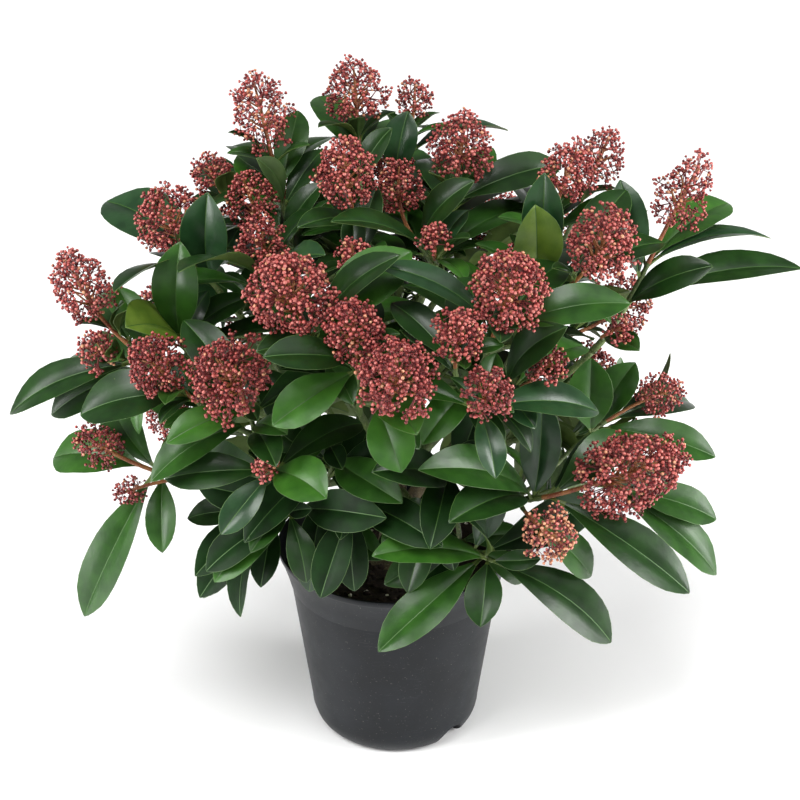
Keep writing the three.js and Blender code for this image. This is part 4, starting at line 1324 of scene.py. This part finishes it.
class Head:
    """A flower head: branches off a middle stalk, whose ends spread into clusters of buds."""

    def __init__(self, grown, loose, kind, buds, stalks):
        self.random = seeded(grown.seed + SEEDS.heads)
        self.heart, self.axis = grown.heart, grown.axis
        self.across, self.over = frame_on(self.axis, vec(HEAD_TURNS_FROM))
        self.half_width, self.half_height = grown.bloom[0] / 2, grown.bloom[1] / 2
        self.turn = grown.turn
        self.loose, self.kind = loose, kind
        self.drift = Vector((grown.seed * HEAD_ROUGH.drift, 0, 0))
        self.crowd = Crowd(BUD_CELL)
        self.buds, self.stalks = buds, stalks

    def reach(self, turn, rise):
        """How far the head's outline is from its axis."""
        if rise > HEAD_RISE[-1]:
            left = max(0, (1 - rise) / (1 - HEAD_RISE[-1]))
            reach = HEAD_REACH[-1] * left**HEAD_TOP_CURVE
        else:
            reach = float(np.interp(rise, HEAD_RISE, HEAD_REACH))
        for lobe in HEAD_LOBES.turns:
            off = (turn - lobe + 180) % 360 - 180
            bulge = math.exp(-((off / HEAD_LOBES.wide) ** 2))
            bulge *= math.exp(-(((rise - HEAD_LOBES.rise) / HEAD_LOBES.tall) ** 2))
            reach *= 1 + HEAD_LOBES.out * bulge
        angle = math.radians(turn)
        place = Vector((math.cos(angle), math.sin(angle), HEAD_ROUGH.tall * rise))
        roughness = noise.noise(place * HEAD_ROUGH.waves + self.drift)
        return reach * self.half_width * (1 + HEAD_ROUGH.share * roughness)

    def at(self, turn, rise, share, inset):
        """A point a share of the way out to the outline, less an inset."""
        angle = math.radians(turn + self.turn)
        radial = self.across * math.cos(angle) + self.over * math.sin(angle)
        out = radial * self.reach(turn, rise) + self.axis * (rise * self.half_height)
        length = np.linalg.norm(out)
        return self.heart + out * (share * max(HUB_NEAREST, 1 - inset / length))

    def foot_of(self, point):
        """Where the branch to a point leaves the middle stalk: well below the point."""
        off = point - self.heart
        along = off @ self.axis
        away = np.linalg.norm(off - self.axis * along)
        lowest = -self.half_height - BRANCH.lowest
        return self.heart + self.axis * max(along - BRANCH.slope * away, lowest)

    def spiral(self, count, form):
        """Points on a spiral up the head, a little out of line."""
        low, high = form.between
        points = []
        for i in range(count):
            rise = low + (high - low) * (i + 0.5) / count + about(self.random, SPIRAL.rise)
            turn = WHORL.golden * i + about(self.random, SPIRAL.turn)
            share = form.share * spread(self.random, *SPIRAL.uneven)
            points.append(self.at(turn, rise, share, form.inset))
        return points

    def cluster(self, hub, out):
        """The middles of a cluster's buds, each clear of the ones before it."""
        buds = []
        for _ in range(round(spread(self.random, *HUBS.buds))):
            for _ in range(CLUSTER.tries):
                away = unit(out * CLUSTER.outward + random_direction(self.random))
                bud = hub + away * spread(self.random, *PEDICEL.length)
                if self.crowd.is_clear([bud], BUD.gap):
                    self.crowd.add([bud])
                    buds.append(bud)
                    break
        return buds

    def tint(self, out):
        """Which tint a bud on the side that out points to has: lighter on the upper side, as painted
        light.
        """
        if self.kind in KIND_SHARES:
            return dealt(self.random, KIND_SHARES[self.kind])
        light = 0.5 + 0.5 * out[2]
        deep, pink, salmon = (share + gain * light for share, gain in LIT_SHARES.values())
        return dealt(self.random, (deep, 1 - deep - pink - salmon, pink, salmon))

    def add_stalk(self, kind, curve):
        form = HEAD_STALKS[kind]
        radius_at = taper(form.radii)
        tube(self.stalks, curve, radius_at, form.steps, form.sides, lambda u: form.look)

    def build(self):
        area = math.pi * 4 * self.half_width * self.half_height * HEAD_FILL
        hub_area = spread(lambda: self.loose, *AREA_PER_BUD) * np.mean(HUBS.buds)
        count = max(HUBS.least, round(area / hub_area))
        hubs = self.spiral(count, HUBS)
        nodes = self.spiral(max(NODES.least, count // NODES.hubs), NODES)
        for node in nodes:
            foot = self.foot_of(node)
            sag = self.axis * (BRANCH.sag * np.linalg.norm(node - foot))
            self.add_stalk("branch", bent(foot, (foot + node) / 2 - sag, node))
        centres, tints, starts = [], [], []
        for hub in hubs:
            node = min(nodes, key=lambda n: np.linalg.norm(n - hub))
            self.add_stalk("branchlet", straight(node, hub))
            out = unit(hub - (node + self.foot_of(hub)) / 2)
            for bud in self.cluster(hub, out):
                centres.append(bud)
                starts.append(hub)
                tints.append(self.tint(out))
        top = self.heart + self.axis * (BRANCH.stalk_top * self.half_height)
        self.add_stalk("middle", straight(self.heart - self.axis * BRANCH.stalk_foot, top))
        centres, starts = np.array(centres), np.array(starts)
        directions = units(centres - starts)
        sizes = [1 + BUD.spread * (2 * self.random() - 1) for _ in centres]
        radii = np.array(sizes) * BUD.radius * (1 - BUD.looser_is_less * self.loose)
        add_buds(self.buds, centres, directions, radii, np.array(tints))
        ends = centres - directions * PEDICEL.into_bud
        add_pedicels(self.stalks, starts, ends, BRANCHLET)


def kind_of(name, k):
    return next((kind for kind, heads in HEAD_KINDS.items() if k in heads.get(name, ())), "red")


def make_heads(name, shoots, bud_looks, stem_looks):
    buds, stalks = Batch(bud_looks), Batch(stem_looks)
    in_bloom = [grown for grown in shoots if grown.bloom]
    loosenesses = LOOSENESS.get(name, [BACK_LOOSENESS] * len(in_bloom))
    for k, (grown, loose) in enumerate(zip(in_bloom, loosenesses)):
        Head(grown, loose, kind_of(name, k), buds, stalks).build()
    if in_bloom:
        dress(buds.make(f"buds_{name}"), "buds")
        dress(stalks.make(f"stalks_{name}"), "bark")


# ---- Pot and peat ----


def pot_profile():
    """The pot's outline from the middle of its underside up, over the rim and down inside."""
    height, wall, rim = POT.height, POT.wall, POT.rim_radius
    base, collar = POT.base_radius, POT.collar_radius
    profile = [(0, 0)]
    for i in range(POT_CORNER_STEPS + 1):
        a = i / POT_CORNER_STEPS * math.pi / 2
        out = base - POT.corner_across * (1 - math.sin(a))
        profile.append((out, POT.corner_up * (1 - math.cos(a))))
    for t in POT_BODY_ROWS:
        up = POT.corner_up + (COLLAR_FOOT - POT.corner_up) * t
        profile.append((base + (collar - base) * t, up))
    profile += [(collar + out, COLLAR_FOOT + up) for out, up in COLLAR_EDGE]
    for t in COLLAR_ROWS:
        profile.append((collar + (rim - collar) * t, COLLAR_FOOT + POT.collar_height * t))
    profile += [(rim - inwards, height - down) for inwards, down in (*RIM_EDGE, *RIM_INSIDE)]
    return profile + [
        (collar - wall, COLLAR_FOOT),
        (base - wall, POT.corner_up),
        (base - POT.corner_across, POT.floor),
        (0, POT.floor),
    ]


def lathe(batch, profile, segments):
    """A closed round solid from a profile that starts and ends on the axis."""
    rings = [ring(radius, segments, z) for radius, z in profile[1:-1]]
    batch.add_turned(rings, profile[0][1], profile[-1][1], 0)


def notch_cutter(turn):
    """An arched block that cuts a drainage notch through the foot at a turn."""
    batch = Batch([])
    half = DRAIN.width / 2
    arch = [(-half, -NOTCH.under)]
    for i in range(NOTCH.steps + 1):
        angle = math.pi * i / NOTCH.steps
        arch.append((-half * math.cos(angle), DRAIN.height * math.sin(angle)))
    arch.append((half, -NOTCH.under))
    near = POT.base_radius + NOTCH.outside
    points = [(x, -y, z) for y in (near, near - DRAIN.depth) for x, z in arch]
    batch.add_sleeve([turned(vec(p), UP, turn) for p in points], len(arch), 0, 0)
    return batch.make(f"notch_{turn}")


def make_pot():
    batch = Batch([pot_material()])
    lathe(batch, pot_profile(), POT_SEGMENTS)
    pot = batch.make("pot_shell")
    for turn in DRAIN.turns:
        cutter = notch_cutter(turn)
        mend(cutter, face_outwards)
        cut = pot.modifiers.new("notch", "BOOLEAN")
        cut.operation = "DIFFERENCE"
        cut.solver = "EXACT"
        cut.object = cutter
        with bpy.context.temp_override(object=pot, active_object=pot):
            bpy.ops.object.modifier_apply(modifier=cut.name)
        bpy.data.objects.remove(cutter)
    mend(pot, harden_edges)
    dress(pot, "pot_plastic", "pot")


def peat_radius(z):
    """How far the peat reaches at a height: to just short of the pot's wall."""
    heights = (POT.corner_up, COLLAR_FOOT, POT.height)
    radii = (POT.base_radius, POT.collar_radius, POT.rim_radius)
    return float(np.interp(z, heights, radii)) - POT.wall - CLEARANCE


def peat_surface(x, y):
    at = Vector((x / PEAT_LUMP.size, y / PEAT_LUMP.size, PEAT_LUMP.slice))
    lumps = PEAT.lumps * noise.noise(at) + PEAT.grains * noise.noise(at * PEAT.finer)
    return PEAT_TOP - PEAT.low + lumps


def make_peat():
    batch = Batch([peat_material(), perlite_material()])
    foot = POT.floor + CLEARANCE
    outline = [
        (POT.base_radius - POT.corner_across - PEAT_GAP.foot, foot),
        (peat_radius(POT.corner_up), POT.corner_up),
        (peat_radius(COLLAR_FOOT), COLLAR_FOOT),
    ]
    top_radius = peat_radius(PEAT_TOP) - PEAT_GAP.top
    outline += [(top_radius * (1 - i / PEAT.rings), peat_surface) for i in range(PEAT.rings)]
    rings = [ring(radius, PEAT.segments, height) for radius, height in outline]
    batch.add_turned(rings, foot, peat_surface(0, 0), 0)
    add_crumbs(batch)
    dress(batch.make("peat_surface"), "peat", "peat")


def add_crumbs(batch):
    """Lumps of peat and white grains of perlite, each a ball pushed out of shape."""
    random = seeded(SEEDS.crumbs)
    work = bmesh.new()
    bmesh.ops.create_icosphere(work, subdivisions=2, radius=1)
    ball = np.array([v.co for v in work.verts])
    faces = np.array([[v.index for v in f.verts] for f in work.faces])
    work.free()
    reach = peat_radius(PEAT_TOP) - CRUMBS.from_wall
    for _ in range(CRUMBS.count):
        is_perlite = random() < PERLITE.share
        size = spread(random, *(PERLITE if is_perlite else CRUMBS).size)
        turn, out = 360 * random(), reach * math.sqrt(random())
        x, y, _ = polar(out, turn, 0)
        off = Vector((CRUMBS.deep * random(), 0, 0))
        rough = [noise.noise(Vector(p) * CRUMBS.finer + off) for p in ball]
        lumps = 1 + CRUMBS.rough * np.array(rough)
        flat = vec((1, spread(random, *CRUMB_FLAT.across), spread(random, *CRUMB_FLAT.up)))
        middle = vec((x, y, peat_surface(x, y) + CRUMB_FLAT.over_peat * size))
        batch.add(middle + ball * lumps[:, None] * flat * size, faces, 1 if is_perlite else 0)


# ---- Stage ----


def make_camera():
    data = bpy.data.cameras.new("camera")
    data.lens = CAMERA.lens
    data.sensor_width = CAMERA.sensor
    camera = placed("camera", data)
    rise = math.radians(CAMERA.elevation)
    back = Vector((0, -math.cos(rise), math.sin(rise)))
    camera.location = Vector(CAMERA.target) * MM + back * (CAMERA.distance * MM)
    camera.rotation_euler = (-back).to_track_quat("-Z", "Y").to_euler()
    bpy.context.scene.camera = camera


def make_floor():
    radius, depth = FLOOR.radius, -FLOOR.depth
    white = plain_material("floor", FLOOR.roughness, FLOOR.white, Specular_IOR_Level=0.1)
    batch = Batch([white])
    lathe(batch, [(0, depth), (radius, depth), (radius, 0), (0, 0)], FLOOR.segments)
    batch.make("floor")


def add_sun(name, azimuth, elevation, strength, angle):
    data = bpy.data.lights.new(name, "SUN")
    data.energy = strength
    data.angle = math.radians(angle)
    turn, rise = math.radians(azimuth), math.radians(elevation)
    back = Vector((math.sin(turn) * math.cos(rise), -math.cos(turn) * math.cos(rise), math.sin(rise)))
    placed(name, data).rotation_euler = back.to_track_quat("Z", "Y").to_euler()


def add_softbox(name, place, power):
    data = bpy.data.lights.new(name, "AREA")
    data.shape = "RECTANGLE"
    data.size = SOFTBOX.width * MM
    data.size_y = SOFTBOX.height * MM
    data.energy = power
    light = placed(name, data)
    light.location = Vector(place) * MM
    back = Vector(place) - Vector(SOFTBOX.aim)
    light.rotation_euler = back.to_track_quat("Z", "Y").to_euler()


def make_lights():
    world = bpy.data.worlds.new("studio")
    world.use_nodes = True
    background = world.node_tree.nodes["Background"]
    background.inputs["Color"].default_value = (1, 1, 1, 1)
    background.inputs["Strength"].default_value = WORLD_STRENGTH
    bpy.context.scene.world = world
    for name, sun in SUNS.items():
        add_sun(name, **sun)
    for name, softbox in SOFTBOXES.items():
        add_softbox(name, **softbox)
    bpy.context.scene.view_settings.view_transform = "Standard"


# ---- Putting it together ----


def standing_crowd(limbs, masses):
    """Points along every limb, twig and leaf that stands, for young leaves to keep clear of."""
    crowd = Crowd(LEAF_CELL)
    for limb in limbs.values():
        crowd.add([limb.curve(i / LIMB_PARTS) for i in range(LIMB_PARTS + 1)])
    for grown in itertools.chain(*masses.values()):
        crowd.add([grown.twig(i / TWIG_PARTS.all) for i in range(TWIG_PARTS.kept)])
        for leaf in grown.leaves_there:
            crowd.add(leaf_probe(leaf))
    return crowd


def make_plant():
    limbs, masses = grow_plant()
    stem_looks = [bark_material(*row) for row in STEMS]
    leaf_looks = leaf_materials()
    bud_looks = bud_materials()
    crowd = standing_crowd(limbs, masses)
    make_trunk(stem_looks)
    for name, limb in limbs.items():
        make_limb(name, limb, stem_looks)
    for name, shoots in masses.items():
        make_twigs(name, shoots, stem_looks)
        make_leaves(name, shoots, leaf_looks, crowd)
        make_heads(name, shoots, bud_looks, stem_looks)


make_camera()
make_pot()
make_peat()
make_plant()
make_floor()
make_lights()
